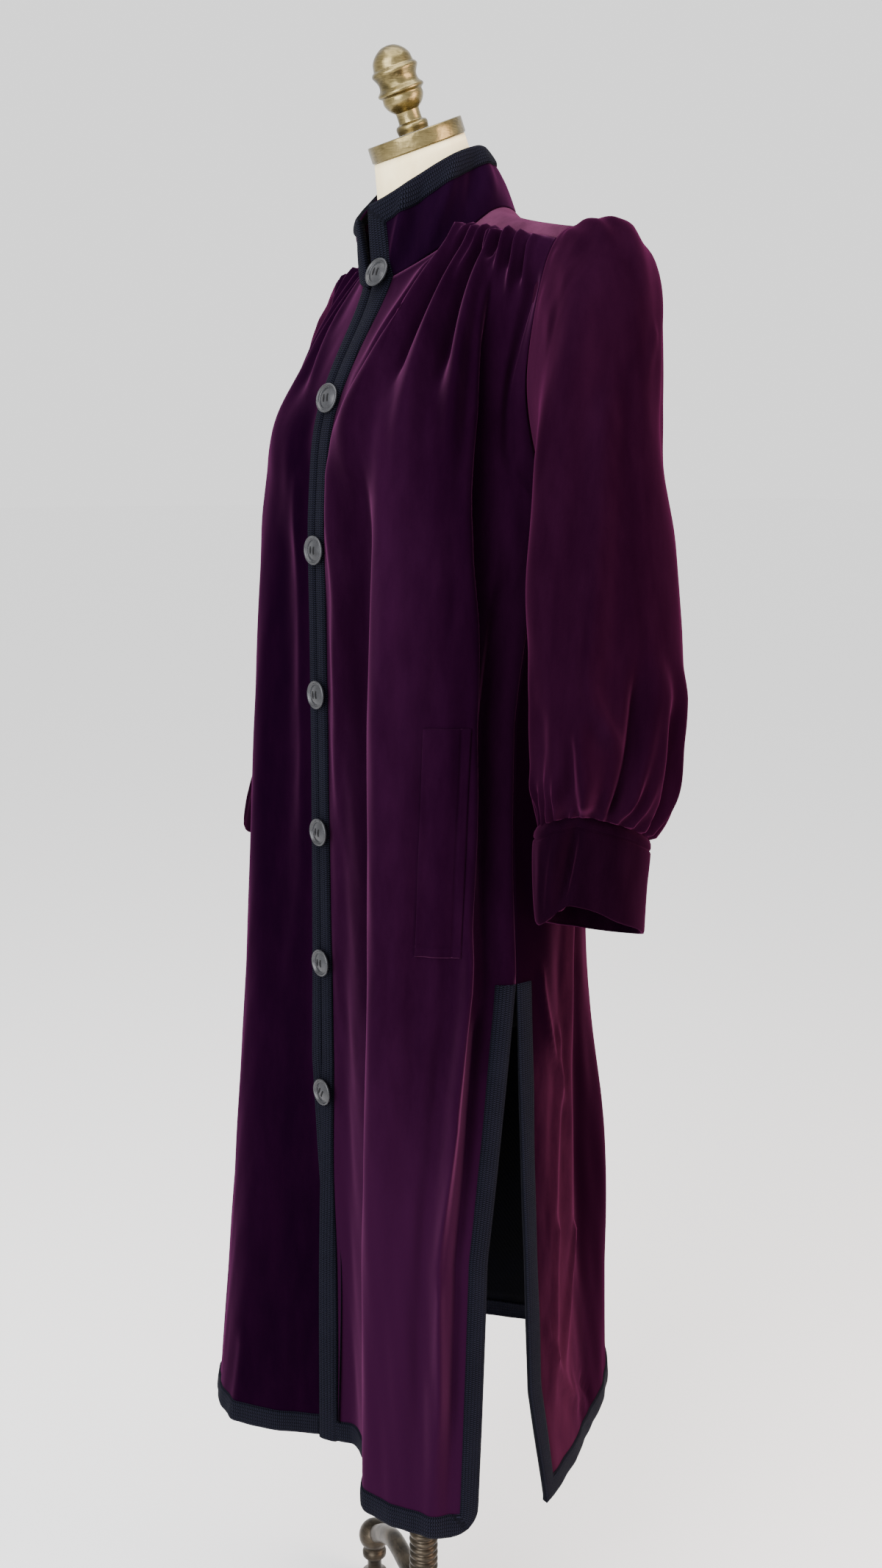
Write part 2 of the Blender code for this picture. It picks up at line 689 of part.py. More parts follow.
def cells(grid):
    return np.zeros((grid.shape[0] - 1, grid.shape[1] - 1), bool)


def add_front(side, name):
    """A front with its welt, its lining and the braid on its edges."""
    grid = front_grid(side)
    outward = normals(grid) * side
    flip = side < 0
    wall("front_" + name, grid, VELVET, "velvet", turned=flip)
    lifted = grid + outward * SEAM
    strip = cells(grid)
    strip[:, 0] = True
    wall("braid_front_" + name, lifted, BRAID, "braid", strip, flip, outward=True)
    hem = cells(grid)
    hem[0, 1:] = True
    hem[:SLIT_CELLS, -1] = True
    joined = lifted.copy()
    joined[:, 1] += (lifted[:, 2] - lifted[:, 1]) * BRAID_JOIN
    wall("braid_hem_" + name, joined, BRAID, "braid", hem, flip, outward=True)
    welt = cells(grid)
    rows = slice(SKIRT_HEIGHTS.index(WELT_BOTTOM), SKIRT_HEIGHTS.index(WELT_TOP))
    welt[rows, slice(*WELT_COLUMNS)] = True
    wall("welt_" + name, lifted, WELT, "velvet", welt, flip, outward=True)
    inside = grid - outward * (VELVET + LINING_GAP)
    lining = cells(grid)
    lining[1:SLIT_CELLS, 1:-1] = True
    wall("lining_front_" + name, inside, LINING, "lining", lining, flip)
    return grid


def add_back():
    grid = back_grid()
    outward = normals(grid)
    wall("back", grid, VELVET, "velvet")
    edges = cells(grid)
    edges[0] = True
    edges[:SLIT_CELLS, 0] = True
    edges[:SLIT_CELLS, -1] = True
    wall("braid_back", grid + outward * SEAM, BRAID, "braid", edges, outward=True)
    inside = grid - outward * (VELVET + LINING_GAP)
    lining = cells(grid)
    lining[1:SLIT_CELLS, 1:-1] = True
    wall("lining_back", inside, LINING, "lining", lining)


def add_collar():
    grid = collar_grid()
    wall("collar", grid, DOUBLED_VELVET, "velvet")
    edges = cells(grid)
    edges[-1] = True
    edges[1:, 0] = True
    edges[1:, -1] = True
    wall("braid_collar", grid + normals(grid) * SEAM, BRAID, "braid", edges, outward=True)


def strip_face(grid, x, height):
    """The foremost Y of the left front's edge strip at this x, within a shank's reach of a height."""
    edge = grid[:, 0]
    inner = grid[:, 1]
    share = ((x - edge[:, 0]) / (inner[:, 0] - edge[:, 0]))[:, None]
    line = edge + (inner - edge) * share
    heights = height + np.array((-SHANK_RADIUS, 0.0, SHANK_RADIUS))
    return np.interp(heights, line[:, 2], line[:, 1]).min()


def add_buttons(grid):
    for number, (x, height, away, lean, turn) in enumerate(BUTTONS, 1):
        made = turned(f"button_{number}", BUTTON_PROFILE, BUTTON_STEPS, "horn")
        made.location = (x, strip_face(grid, x, height) - away, height)
        made.rotation_euler = (math.radians(90 - lean), 0, math.radians(turn))


def form_rings():
    turn = np.linspace(0, 2 * math.pi, FORM_SIDES + 1)
    ahead = np.cos(turn)
    rings = []
    for height, front_drop, back_drop, half_width, front, back, middle in FORM_RINGS:
        depth = np.where(ahead > 0, front, back)
        drop = np.where(ahead > 0, front_drop, back_drop)
        y = middle - depth * ahead
        rings.append(np.stack([half_width * np.sin(turn), y, height - drop * np.abs(ahead)], -1))
    return np.stack(rings)


def add_form():
    rings = form_rings()
    solid_loft("form_torso", rings, "linen")
    turn = np.linspace(0, 2 * math.pi, FORM_SIDES + 1)
    tilt = math.radians(NECK_TILT)
    ahead = np.stack([np.sin(turn), -np.cos(turn) * math.cos(tilt), -np.cos(turn) * math.sin(tilt)], -1)
    up = np.array((0.0, -math.sin(tilt), math.cos(tilt)))
    top = np.array(NECK_CAP_PLACE) + NECK_RADIUS * ahead - SEAM * up
    base = rings[-1] + np.array((0, 0, SEAM))
    waist = base + (top - base) * NECK_WAIST
    solid_loft("form_neck", np.stack([base, waist, top]), "linen")
    cap = turned("neck_cap", CAP_PROFILE, TURNED_STEPS, "brass")
    cap.location = NECK_CAP_PLACE
    cap.rotation_euler.x = tilt
    finial = turned("finial", FINIAL_PROFILE, TURNED_STEPS, "brass")
    finial.location = np.array(NECK_CAP_PLACE) + up * (CAP_PROFILE[0][1] + SEAM)
    finial.rotation_euler.x = tilt


def add_leg(number, bearing):
    """A leg from the hub, a tube, and the turned foot at its end."""
    rows = np.array(LEG_ROUTE)
    share = np.linspace(0, len(rows) - 1, LEG_POINTS)
    route = curve(np.arange(len(rows)), rows, share)
    angle = math.radians(bearing)
    line = bpy.data.curves.new(f"leg_{number}", "CURVE")
    line.dimensions = "3D"
    line.bevel_depth = LEG_RADIUS
    line.bevel_resolution = 2
    line.use_fill_caps = True
    spline = line.splines.new("POLY")
    spline.points.add(LEG_POINTS - 1)
    for point, (out, height) in zip(spline.points, route):
        point.co = (out * math.cos(angle), out * math.sin(angle), height, 1)
    line.materials.append(material("bronze"))
    leg = bpy.data.objects.new(f"leg_{number}", line)
    coat.objects.link(leg)
    leg.parent = root
    ahead = (route[-1] - route[-2]) / np.linalg.norm(route[-1] - route[-2])
    out, height = route[-1] + ahead * (FOOT_BALL + SEAM)
    ball = [
        (FOOT_BALL * math.cos(math.radians(rise)), height + FOOT_BALL * math.sin(math.radians(rise)))
        for rise in FOOT_BALL_ANGLES
    ]
    ball[0] = (0.0, ball[0][1])
    foot = turned(f"foot_{number}", [*ball, *FOOT_PROFILE], FOOT_STEPS, "bronze")
    foot.location = (out * math.cos(angle), out * math.sin(angle), 0)


def add_stand():
    top = FORM_RINGS[0][0] - SEAM
    ringed = HUB_TOP + POST_RINGS * POST_RING_PITCH
    profile = [(0, top), (POST_RADIUS, top), (POST_RADIUS, ringed)]
    for ring in reversed(range(POST_RINGS)):
        base = HUB_TOP + SEAM + ring * POST_RING_PITCH
        profile += [(POST_RING_RADIUS, base + end * POST_RING_PITCH) for end in POST_RING_ENDS]
        profile.append((POST_RADIUS, base))
    profile.append((0, HUB_TOP + SEAM))
    turned("post", profile, FOOT_STEPS, "bronze")
    turned("hub", HUB_PROFILE, TURNED_STEPS, "bronze")
    for number, bearing in enumerate(LEG_BEARINGS, 1):
        add_leg(number, bearing)


def centre_on_floor():
    """Moves the whole part so that its box is centred on the origin."""
    bpy.context.view_layer.update()
    graph = bpy.context.evaluated_depsgraph_get()
    corners = []
    for made in coat.objects:
        if made.type == "EMPTY":
            continue
        evaluated = made.evaluated_get(graph)
        shape = evaluated.to_mesh()
        corners += [evaluated.matrix_world @ vertex.co for vertex in shape.vertices]
        evaluated.to_mesh_clear()
    points = np.array(corners)
    middle = (points.max(axis=0) + points.min(axis=0)) / 2
    root.location = (-middle[0], -middle[1], 0)


for old in list(bpy.data.objects):
    bpy.data.objects.remove(old, do_unlink=True)
coat = bpy.data.collections.new("velvet_coat_on_form")
bpy.context.scene.collection.children.link(coat)
root = bpy.data.objects.new("coat_root", None)
coat.objects.link(root)

left_front = add_front(1, "left")
add_front(-1, "right")
add_back()
wall("yoke", yoke_grid(), VELVET, "velvet", turned=True)
add_collar()
for side, name in ((1, "left"), (-1, "right")):
    wall("sleeve_" + name, sleeve_grid(side), VELVET, "velvet", turned=side > 0)
    wall("cuff_" + name, cuff_grid(side), DOUBLED_VELVET, "velvet", turned=side < 0)
add_buttons(left_front)
add_form()
add_stand()
centre_on_floor()
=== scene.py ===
"""The looks of a velvet coat on a dress form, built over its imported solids: panels, sleeves, collar and
cuffs with their folds, knitted braid, horn buttons, the linen form and its stand. Metres, +Z up; the coat
faces -Y and its left is +X. All is worked out about the post and then moved to where the solids stand."""

import math

import bmesh
import bpy
import numpy as np
from mathutils import Matrix, Vector


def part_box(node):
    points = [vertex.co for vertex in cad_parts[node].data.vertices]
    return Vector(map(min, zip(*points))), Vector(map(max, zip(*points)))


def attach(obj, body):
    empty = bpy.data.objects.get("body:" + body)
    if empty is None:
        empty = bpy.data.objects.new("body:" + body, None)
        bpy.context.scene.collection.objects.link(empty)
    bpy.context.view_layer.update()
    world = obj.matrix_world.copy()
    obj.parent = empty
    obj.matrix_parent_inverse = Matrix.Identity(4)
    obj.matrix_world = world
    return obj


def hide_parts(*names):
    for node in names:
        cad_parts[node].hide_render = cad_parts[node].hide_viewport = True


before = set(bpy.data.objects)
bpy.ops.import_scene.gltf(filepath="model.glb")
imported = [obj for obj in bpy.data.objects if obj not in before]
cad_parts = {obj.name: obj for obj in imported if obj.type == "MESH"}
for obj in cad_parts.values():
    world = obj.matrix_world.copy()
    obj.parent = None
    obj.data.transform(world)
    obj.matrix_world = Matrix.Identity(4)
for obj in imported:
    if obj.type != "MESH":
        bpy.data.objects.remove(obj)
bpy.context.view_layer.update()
post_low, post_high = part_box("post")
POST = (post_low + post_high) / 2
POST.z = 0

# Heights above the floor
HEM = 0.370
SLIT_TOP = 0.918
WELT_BOTTOM = 0.950
WELT_TOP = 1.163
UNDERARM = 1.362
CHEST = 0.210
YOKE_LEVEL = UNDERARM + CHEST

# Cloth, seams and braid
VELVET = 0.0020
DOUBLED_VELVET = 0.0030
LINING = 0.0008
LINING_GAP = 0.0010
SEAM = 0.0003
ARMHOLE_SEAM = 0.0017
SEAM_ALLOWANCE = (
    # inset, run on inside the next piece
    (0.0040, 0.005),
    (0.0065, 0.013),
    (0.0080, 0.024),
)
YOKE_SEAM = 0.0012
BRAID_WIDTH = 0.024
BRAID = 0.0021
BRAID_EDGE = 0.22
FOLDED_BRAID = 0.0058
FOLDED_STRIP = 0.0066
SLIT_BRAID_SHARE = 0.75
ROLLED_BRAID = 0.0036
ROLLED_EDGE = 0.05
STRIP_WIDTH = 0.014
BRAID_TOP = HEM + BRAID_WIDTH
WELT = 0.0016
WELT_WALL = 0.0010
WELT_COLUMNS = (14, 18)
WELT_EDGE = 0.80
WELT_CROWN = 0.50
WELT_ROLL = (0.045, 0.010)
WELT_SIDE_STITCHING = (0.80, 0.022)
WELT_LOW_STITCHING = (0.045, 0.006)
WELT_STITCHING_DEPTH = 0.0012
FRONT_EDGE = 0.0007
LINING_START = 0.5
LINING_PAST_SLIT = 0.3
BACK_LINING_START = 0.7

# Reach of the coat from the post at bearings from centre front, in degrees, round to centre back
BEARINGS = np.array((0, 9, 18, 30, 44, 62, 85, 105, 125, 150, 180), float)
LEFT_HALF = (
    # height, front, strip, valley, bust, flute, flank, side, side_back, hollow, back_flute, back
    (0.370, 0.126, 0.117, 0.112, 0.150, 0.200, 0.229, 0.228, 0.203, 0.189, 0.203, 0.235),
    (0.650, 0.121, 0.116, 0.114, 0.146, 0.190, 0.212, 0.211, 0.189, 0.179, 0.198, 0.196),
    (0.918, 0.118, 0.116, 0.117, 0.143, 0.181, 0.196, 0.197, 0.186, 0.171, 0.167, 0.166),
    (1.163, 0.117, 0.117, 0.121, 0.141, 0.175, 0.187, 0.188, 0.181, 0.170, 0.165, 0.150),
    (1.362, 0.117, 0.118, 0.126, 0.146, 0.164, 0.177, 0.186, 0.184, 0.174, 0.156, 0.140),
)
RIGHT_HALF = (
    # height, front, strip, valley, bust, flute, flank, side, side_back, hollow, back_flute, back
    (0.370, 0.128, 0.146, 0.196, 0.229, 0.238, 0.234, 0.226, 0.203, 0.188, 0.196, 0.235),
    (0.650, 0.122, 0.134, 0.170, 0.204, 0.214, 0.214, 0.211, 0.192, 0.180, 0.188, 0.196),
    (0.918, 0.118, 0.124, 0.146, 0.181, 0.192, 0.197, 0.197, 0.186, 0.174, 0.173, 0.166),
    (1.163, 0.117, 0.120, 0.134, 0.166, 0.179, 0.187, 0.188, 0.181, 0.170, 0.165, 0.150),
    (1.362, 0.117, 0.119, 0.130, 0.150, 0.165, 0.177, 0.186, 0.184, 0.174, 0.156, 0.140),
)
SIDE_EDGES = (
    # height, bearing of the front's edge, bearing of the back's edge
    (0.370, 71.8, 93.3),
    (0.500, 73.6, 87.4),
    (0.650, 75.6, 86.8),
    (0.918, 85.4, 85.4),
    (1.163, 90.0, 90.0),
    (1.362, 100.0, 100.0),
)
NECK_COLUMN = 6
SLIT_COLUMN = 21
SIDE_COLUMN = 22
BACK_MIDDLE = 10
BACK_END = 2 * BACK_MIDDLE
NECK_SHARE = 0.33
ARMHOLE_COLUMNS = 9
CORNER_COLUMNS = 1.3
CORNER_HEIGHT = 0.030
FRONT_LEAN = (0.0, 0.55, 0.44)
NECK_LEAN = (0.0, 0.22, 0.75)
NECK_UPRIGHT = 1.5
NECK_REACH = 8
BACK_LEAN = (0.0, -0.25, 0.60)

# Folds of the fronts and back: a soft ridge from a top to a low point of the cloth, or a trough where its
# height is negative. Columns run from centre front to the side, and on the back from its left side round.
LEFT_FOLDS = (
    # top column, low column, top level, low level, height, top width, low width
    (4.4, 1.9, 1.566, 1.260, 0.0060, 0.75, 1.30),
    (5.7, 3.0, 1.555, 1.400, -0.0070, 0.48, 0.90),
    (7.0, 4.3, 1.569, 1.350, 0.0135, 0.70, 1.70),
    (8.5, 8.0, 1.556, 1.430, -0.0110, 0.40, 0.55),
    (9.6, 10.2, 1.569, 1.370, 0.0110, 0.60, 1.30),
    (11.4, 12.5, 1.556, 1.425, -0.0140, 0.46, 0.70),
    (13.1, 14.4, 1.569, 1.350, 0.0095, 0.65, 1.20),
    (8.0, 7.8, 1.571, 1.532, 0.0060, 0.26, 0.36),
    (10.6, 10.8, 1.571, 1.505, 0.0070, 0.26, 0.44),
    (12.2, 12.0, 1.571, 1.535, 0.0060, 0.24, 0.34),
    (13.9, 13.5, 1.566, 1.530, -0.0085, 0.30, 0.36),
    (15.0, 15.3, 1.571, 1.520, 0.0085, 0.40, 0.58),
    (16.2, 16.5, 1.566, 1.535, -0.0080, 0.30, 0.40),
    (17.3, 17.6, 1.571, 1.515, 0.0080, 0.42, 0.60),
    (18.5, 18.8, 1.564, 1.530, -0.0075, 0.30, 0.40),
    (19.6, 19.8, 1.571, 1.525, 0.0065, 0.38, 0.50),
    (20.9, 20.8, 1.545, 1.380, -0.0090, 0.80, 0.90),
    (3.0, 2.6, 1.400, 1.000, 0.0035, 0.80, 1.00),
    (6.0, 8.2, 1.420, -0.200, -0.0210, 1.60, 2.60),
    (10.2, 12.2, 1.340, -0.100, 0.0045, 1.30, 1.30),
    (14.6, 14.6, 1.250, 0.500, -0.0040, 1.20, 1.40),
    (18.7, 19.3, 0.980, 0.300, 0.0115, 0.62, 0.72),
    (18.9, 18.5, 0.800, 0.640, 0.0040, 0.26, 0.36),
    (19.0, 19.5, 0.640, 0.460, 0.0050, 0.28, 0.40),
    (18.3, 18.8, 0.540, 0.330, 0.0022, 0.45, 0.55),
    (16.9, 17.3, 0.900, 0.350, -0.0050, 0.80, 0.90),
    (20.4, 20.6, 0.900, 0.340, -0.0080, 0.55, 0.60),
)
RIGHT_FOLDS = (
    # top column, low column, top level, low level, height, top width, low width
    (9.5, 8.0, 1.575, 1.390, -0.0110, 5.00, 5.00),
    (4.8, 2.0, 1.566, 1.270, 0.0055, 0.70, 1.10),
    (6.0, 3.4, 1.555, 1.400, -0.0065, 0.50, 0.90),
    (7.4, 4.6, 1.569, 1.350, 0.0090, 0.62, 1.40),
    (8.8, 7.6, 1.556, 1.420, -0.0085, 0.44, 0.60),
    (10.0, 9.4, 1.569, 1.380, 0.0075, 0.55, 1.00),
    (11.4, 11.6, 1.556, 1.430, -0.0085, 0.44, 0.60),
    (12.6, 13.2, 1.569, 1.370, 0.0075, 0.55, 1.00),
    (8.2, 8.0, 1.571, 1.530, 0.0040, 0.28, 0.36),
    (13.9, 13.8, 1.566, 1.520, -0.0075, 0.32, 0.38),
    (14.9, 15.3, 1.571, 1.490, 0.0085, 0.40, 0.58),
    (16.2, 16.6, 1.566, 1.510, -0.0080, 0.34, 0.44),
    (17.4, 17.9, 1.571, 1.460, 0.0085, 0.42, 0.60),
    (18.7, 19.1, 1.564, 1.495, -0.0070, 0.34, 0.46),
    (19.8, 20.2, 1.571, 1.490, 0.0060, 0.38, 0.50),
    (20.9, 20.8, 1.545, 1.380, -0.0080, 0.80, 0.90),
    (2.1, 2.0, 1.400, 0.900, 0.0040, 0.50, 0.65),
    (3.6, 3.6, 1.350, 0.700, -0.0035, 0.80, 1.00),
    (9.4, 8.8, 1.360, 0.100, -0.0060, 1.80, 2.20),
    (13.6, 13.0, 1.180, 0.250, -0.0060, 1.30, 1.60),
    (18.6, 19.2, 0.980, 0.300, 0.0070, 0.62, 0.72),
    (20.4, 20.6, 0.900, 0.340, -0.0050, 0.55, 0.60),
    (2.6, 2.9, 0.520, 0.300, 0.0025, 0.35, 0.50),
    (4.6, 5.2, 0.480, 0.300, 0.0030, 0.35, 0.50),
)
BACK_FOLDS = (
    # top column, low column, top level, low level, height, top width, low width
    (1.3, 1.1, 1.570, 1.420, 0.0050, 0.22, 0.34),
    (2.3, 2.0, 1.570, 1.370, 0.0055, 0.20, 0.36),
    (3.3, 3.2, 1.570, 1.420, 0.0050, 0.22, 0.34),
    (4.3, 4.1, 1.570, 1.350, 0.0060, 0.22, 0.40),
    (5.3, 5.3, 1.570, 1.410, 0.0055, 0.20, 0.34),
    (6.4, 6.2, 1.570, 1.330, 0.0055, 0.22, 0.40),
    (7.4, 7.5, 1.570, 1.420, 0.0050, 0.20, 0.32),
    (8.5, 8.4, 1.570, 1.360, 0.0060, 0.22, 0.40),
    (9.6, 9.7, 1.570, 1.400, 0.0055, 0.22, 0.34),
    (10.7, 10.8, 1.570, 1.340, 0.0055, 0.22, 0.40),
    (11.8, 11.7, 1.570, 1.420, 0.0055, 0.20, 0.32),
    (12.8, 13.0, 1.570, 1.370, 0.0060, 0.22, 0.40),
    (13.9, 13.8, 1.570, 1.410, 0.0050, 0.20, 0.34),
    (15.0, 15.2, 1.570, 1.350, 0.0055, 0.22, 0.40),
    (16.1, 16.0, 1.570, 1.420, 0.0055, 0.20, 0.34),
    (17.2, 17.5, 1.570, 1.380, 0.0055, 0.22, 0.36),
    (18.4, 18.8, 1.570, 1.430, 0.0050, 0.22, 0.34),
    (3.0, 2.6, 1.300, 0.600, -0.0060, 0.60, 0.90),
    (5.6, 6.2, 1.240, 0.500, 0.0050, 0.70, 0.90),
    (8.6, 8.2, 1.300, 0.560, -0.0050, 0.80, 1.00),
    (11.8, 12.2, 1.260, 0.480, 0.0055, 0.80, 1.00),
    (14.6, 15.0, 1.300, 0.520, -0.0055, 0.80, 1.00),
    (17.2, 17.0, 1.240, 0.500, 0.0050, 0.60, 0.80),
    (1.2, 2.9, 0.930, 0.720, 0.0045, 0.16, 0.30),
    (2.4, 1.7, 0.860, 0.600, 0.0050, 0.18, 0.34),
    (3.2, 3.0, 1.000, 0.560, 0.0060, 0.34, 0.50),
    (2.0, 1.5, 0.660, 0.450, 0.0045, 0.16, 0.26),
    (3.4, 2.3, 0.640, 0.470, 0.0040, 0.16, 0.26),
    (4.4, 4.2, 0.980, 0.500, -0.0060, 0.40, 0.55),
    (1.2, 2.6, 0.560, 0.440, 0.0035, 0.14, 0.22),
    (1.8, 3.3, 0.500, 0.410, 0.0035, 0.14, 0.22),
    (2.8, 4.2, 0.470, 0.395, 0.0030, 0.14, 0.22),
    (3.8, 4.9, 0.450, 0.395, -0.0030, 0.16, 0.22),
)
PLEAT = (
    # level, column of the fold's edge, depth behind it
    (0.45, 18.6, 0.0),
    (0.70, 18.7, 0.006),
    (0.95, 18.8, 0.018),
    (1.12, 18.7, 0.026),
    (1.25, 17.6, 0.028),
    (1.33, 16.2, 0.026),
    (1.38, 15.9, 0.024),
    (1.44, 16.3, 0.018),
    (1.49, 15.6, 0.009),
    (1.53, 14.4, 0.0),
)
PLEAT_FALL = 0.60
PLEAT_FLOOR = 1.8
PLEAT_ROLL = 0.0030
PLEAT_ROLL_PLACE = 0.35
PLEAT_ROLL_WIDTH = 0.5
PLEAT_ROLL_DEPTH = 0.010

# Folds fade out towards a panel's edges, over these columns
FRONT_FOLD_START = 0.4
FRONT_FOLD_PAST_SIDE = 0.5
FRONT_FOLD_EASE = 1.2
BACK_FOLD_PAST_SIDE = 0.3
BACK_FOLD_EASE = 0.8

# Hanging cloth is slightly uneven, less so just under the yoke
FRONT_SLACK = 0.0007
BACK_SLACK = 0.0008
BACK_SLACK_PITCH = 1.6
SLACK_UNDER_YOKE = 0.1
SLACK_WAVES = (
    # share, then two crossing waves: turn for each column, turn for each metre of height, start
    (1.0, (1.7, 9.0, 0.0), (0.63, -13.0, 1.1)),
    (0.6, (2.9, 21.0, 0.4), (1.0, 31.0, 0.0)),
)

# The side under each arm is drawn in towards the post, over these last columns of a panel
SIDE_HOLLOW = (
    # height, depth
    (0.93, 0.0),
    (1.02, 0.012),
    (1.12, 0.018),
    (1.22, 0.018),
    (1.30, 0.010),
    (1.345, 0.0),
)
HOLLOW_START = 19.0
HOLLOW_EASE = 2.0
HOLLOW_BACK = 3.0

# The gathers puff out just under the yoke's seam
GATHER_PUFF = 0.0055
PUFF_DROP = 0.013
RIGHT_PUFF = 0.2

# The bend of the panels at the underarm is eased over this height
SOFT_BEND = 0.030
SOFT_STEPS = (-1.5, -0.75, 0.0, 0.75, 1.5)

# The left front's strip laps over the right one towards the hem, where both move by these amounts
LAP = (
    # height, share of the lap
    (HEM, 1.0),
    (0.60, 1.0),
    (0.71, 0.45),
    (0.80, 0.0),
)
LAP_ACROSS = 0.0040
LAP_OUT = 0.0030
LAP_UNDER = 0.0085
LAP_BEHIND = 0.0120
LEFT_LAP_END = 3.0
LEFT_LAP_EASE = 1.6
RIGHT_LAP_END = 4.0
RIGHT_LAP_EASE = 3.0
UNDERLAP_COLUMN = -0.6
STRIP_SPREAD = (
    # height, width of the left front's strip in widths of its own solid
    (HEM, 1.85),
    (0.60, 1.85),
    (0.71, 1.40),
    (0.80, 1.25),
    (1.36, 1.25),
    (1.44, 1.4),
    (1.51, 1.7),
    (YOKE_LEVEL, 1.8),
)

# Neckline, yoke and collar
NECK_HALF_WIDTH = 0.078
NECK_MIDDLE = 0.0185
NECK_FRONT = 0.072
NECK_BACK = 0.076
NECK_HEIGHTS = ((0, 1.559), (40, 1.579), (82, 1.612), (100, 1.628), (140, 1.634), (180, 1.640))
YOKE_BEARING = 82
YOKE_RIDGE = 100
YOKE_BEARINGS = (YOKE_BEARING, 91, YOKE_RIDGE, 111, 122, 135, 150, 165, 180)
YOKE_SHARES = (-0.030, 0.3, 0.65, 0.995)
YOKE_SIDE_POINTS = 5
YOKE_ROWS = 22
YOKE_COLUMNS = 130
BACK_SEAM_MIDDLE = (0.0, 0.128, 1.546)
BACK_BULGE = 0.006
BULGE_DIRECTION = np.array((0.0, 1.0, 0.3))
COLLAR_HALF_WIDTH = 0.0635
COLLAR_MIDDLE = 0.001
COLLAR_FRONT = 0.060
COLLAR_BACK = 0.057
COLLAR_HEIGHT = 1.6632
COLLAR_RISE = 0.0278
COLLAR_ARCH = 0.0150
COLLAR_SAG = 0.0170
SAG_BEARINGS = (235, 300, 320, 360)
SAG_EASING = 0.5
COLLAR_OPENING = 3.0
COLLAR_STRIP = 23.0
COLLAR_BRAID_SHARE = 0.68
COLLAR_BRAID = 0.0066
COLLAR_BRAID_RISE = 1.2 * BRAID
COLLAR_FULLNESS = 0.0012
COLLAR_TIP = 338
COLLAR_TIP_DROP = 0.004
COLLAR_TIP_ROLL = 0.006
COLLAR_CREASES = (
    # bearing at the base, bearing at the top, height, width in degrees
    (20, 46, 0.0055, 4.5),
    (33, 60, -0.0050, 6),
    (50, 88, 0.0070, 7),
    (76, 110, -0.0050, 8),
    (100, 124, 0.0030, 8),
    (300, 322, 0.0045, 7),
    (322, 340, -0.0030, 7),
    (196, 190, 0.0025, 12),
    (150, 138, 0.0025, 12),
)

# Left armhole from the shoulder point by the front and the underarm to the back
ARMHOLE = (
    # x, y, z
    (0.203, 0.044, 1.596),
    (0.195, 0.012, 1.578),
    (0.171, 0.006, 1.480),
    (0.175, 0.014, 1.405),
    None,
    (0.170, 0.078, 1.400),
    (0.166, 0.100, 1.470),
    (0.185, 0.096, 1.540),
)
FRONT_CORNER = 0.099
BACK_CORNER = 0.875
UNDERARM_POINT = 0.5

# Sleeves and cuffs
SLEEVE_RINGS = (
    # outer_x, outer_z, inner_x, inner_z, half_width, left_y, right_y
    (0.240, 1.602, 0.196, 1.352, 0.060, 0.048, 0.062),
    (0.274, 1.577, 0.199, 1.335, 0.063, 0.043, 0.066),
    (0.287, 1.530, 0.200, 1.310, 0.065, 0.040, 0.064),
    (0.290, 1.460, 0.199, 1.275, 0.067, 0.039, 0.060),
    (0.297, 1.360, 0.198, 1.235, 0.073, 0.039, 0.052),
    (0.305, 1.260, 0.198, 1.185, 0.079, 0.039, 0.046),
    (0.309, 1.190, 0.198, 1.150, 0.083, 0.038, 0.034),
    (0.307, 1.135, 0.200, 1.118, 0.079, 0.037, 0.014),
    (0.297, 1.098, 0.206, 1.094, 0.068, 0.035, -0.004),
    (0.283, 1.076, 0.212, 1.076, 0.057, 0.033, -0.014),
)
SLEEVE_END = len(SLEEVE_RINGS)
SLEEVE_SLACK = 0.0010
SLEEVE_SLACK_EASE = 1.5
SLEEVE_LIFT_START = 7.5
SLEEVE_FOLD_ENDS = (0.3, 0.2)
SLEEVE_HOLLOW_ENDS = (0.4, 0.4)
CUFF_GATHER_ENDS = (0.03, 0.5)
CUFF_GATHER_HEIGHT = 1.35
CUFF_GATHER_SPREAD = 1.7
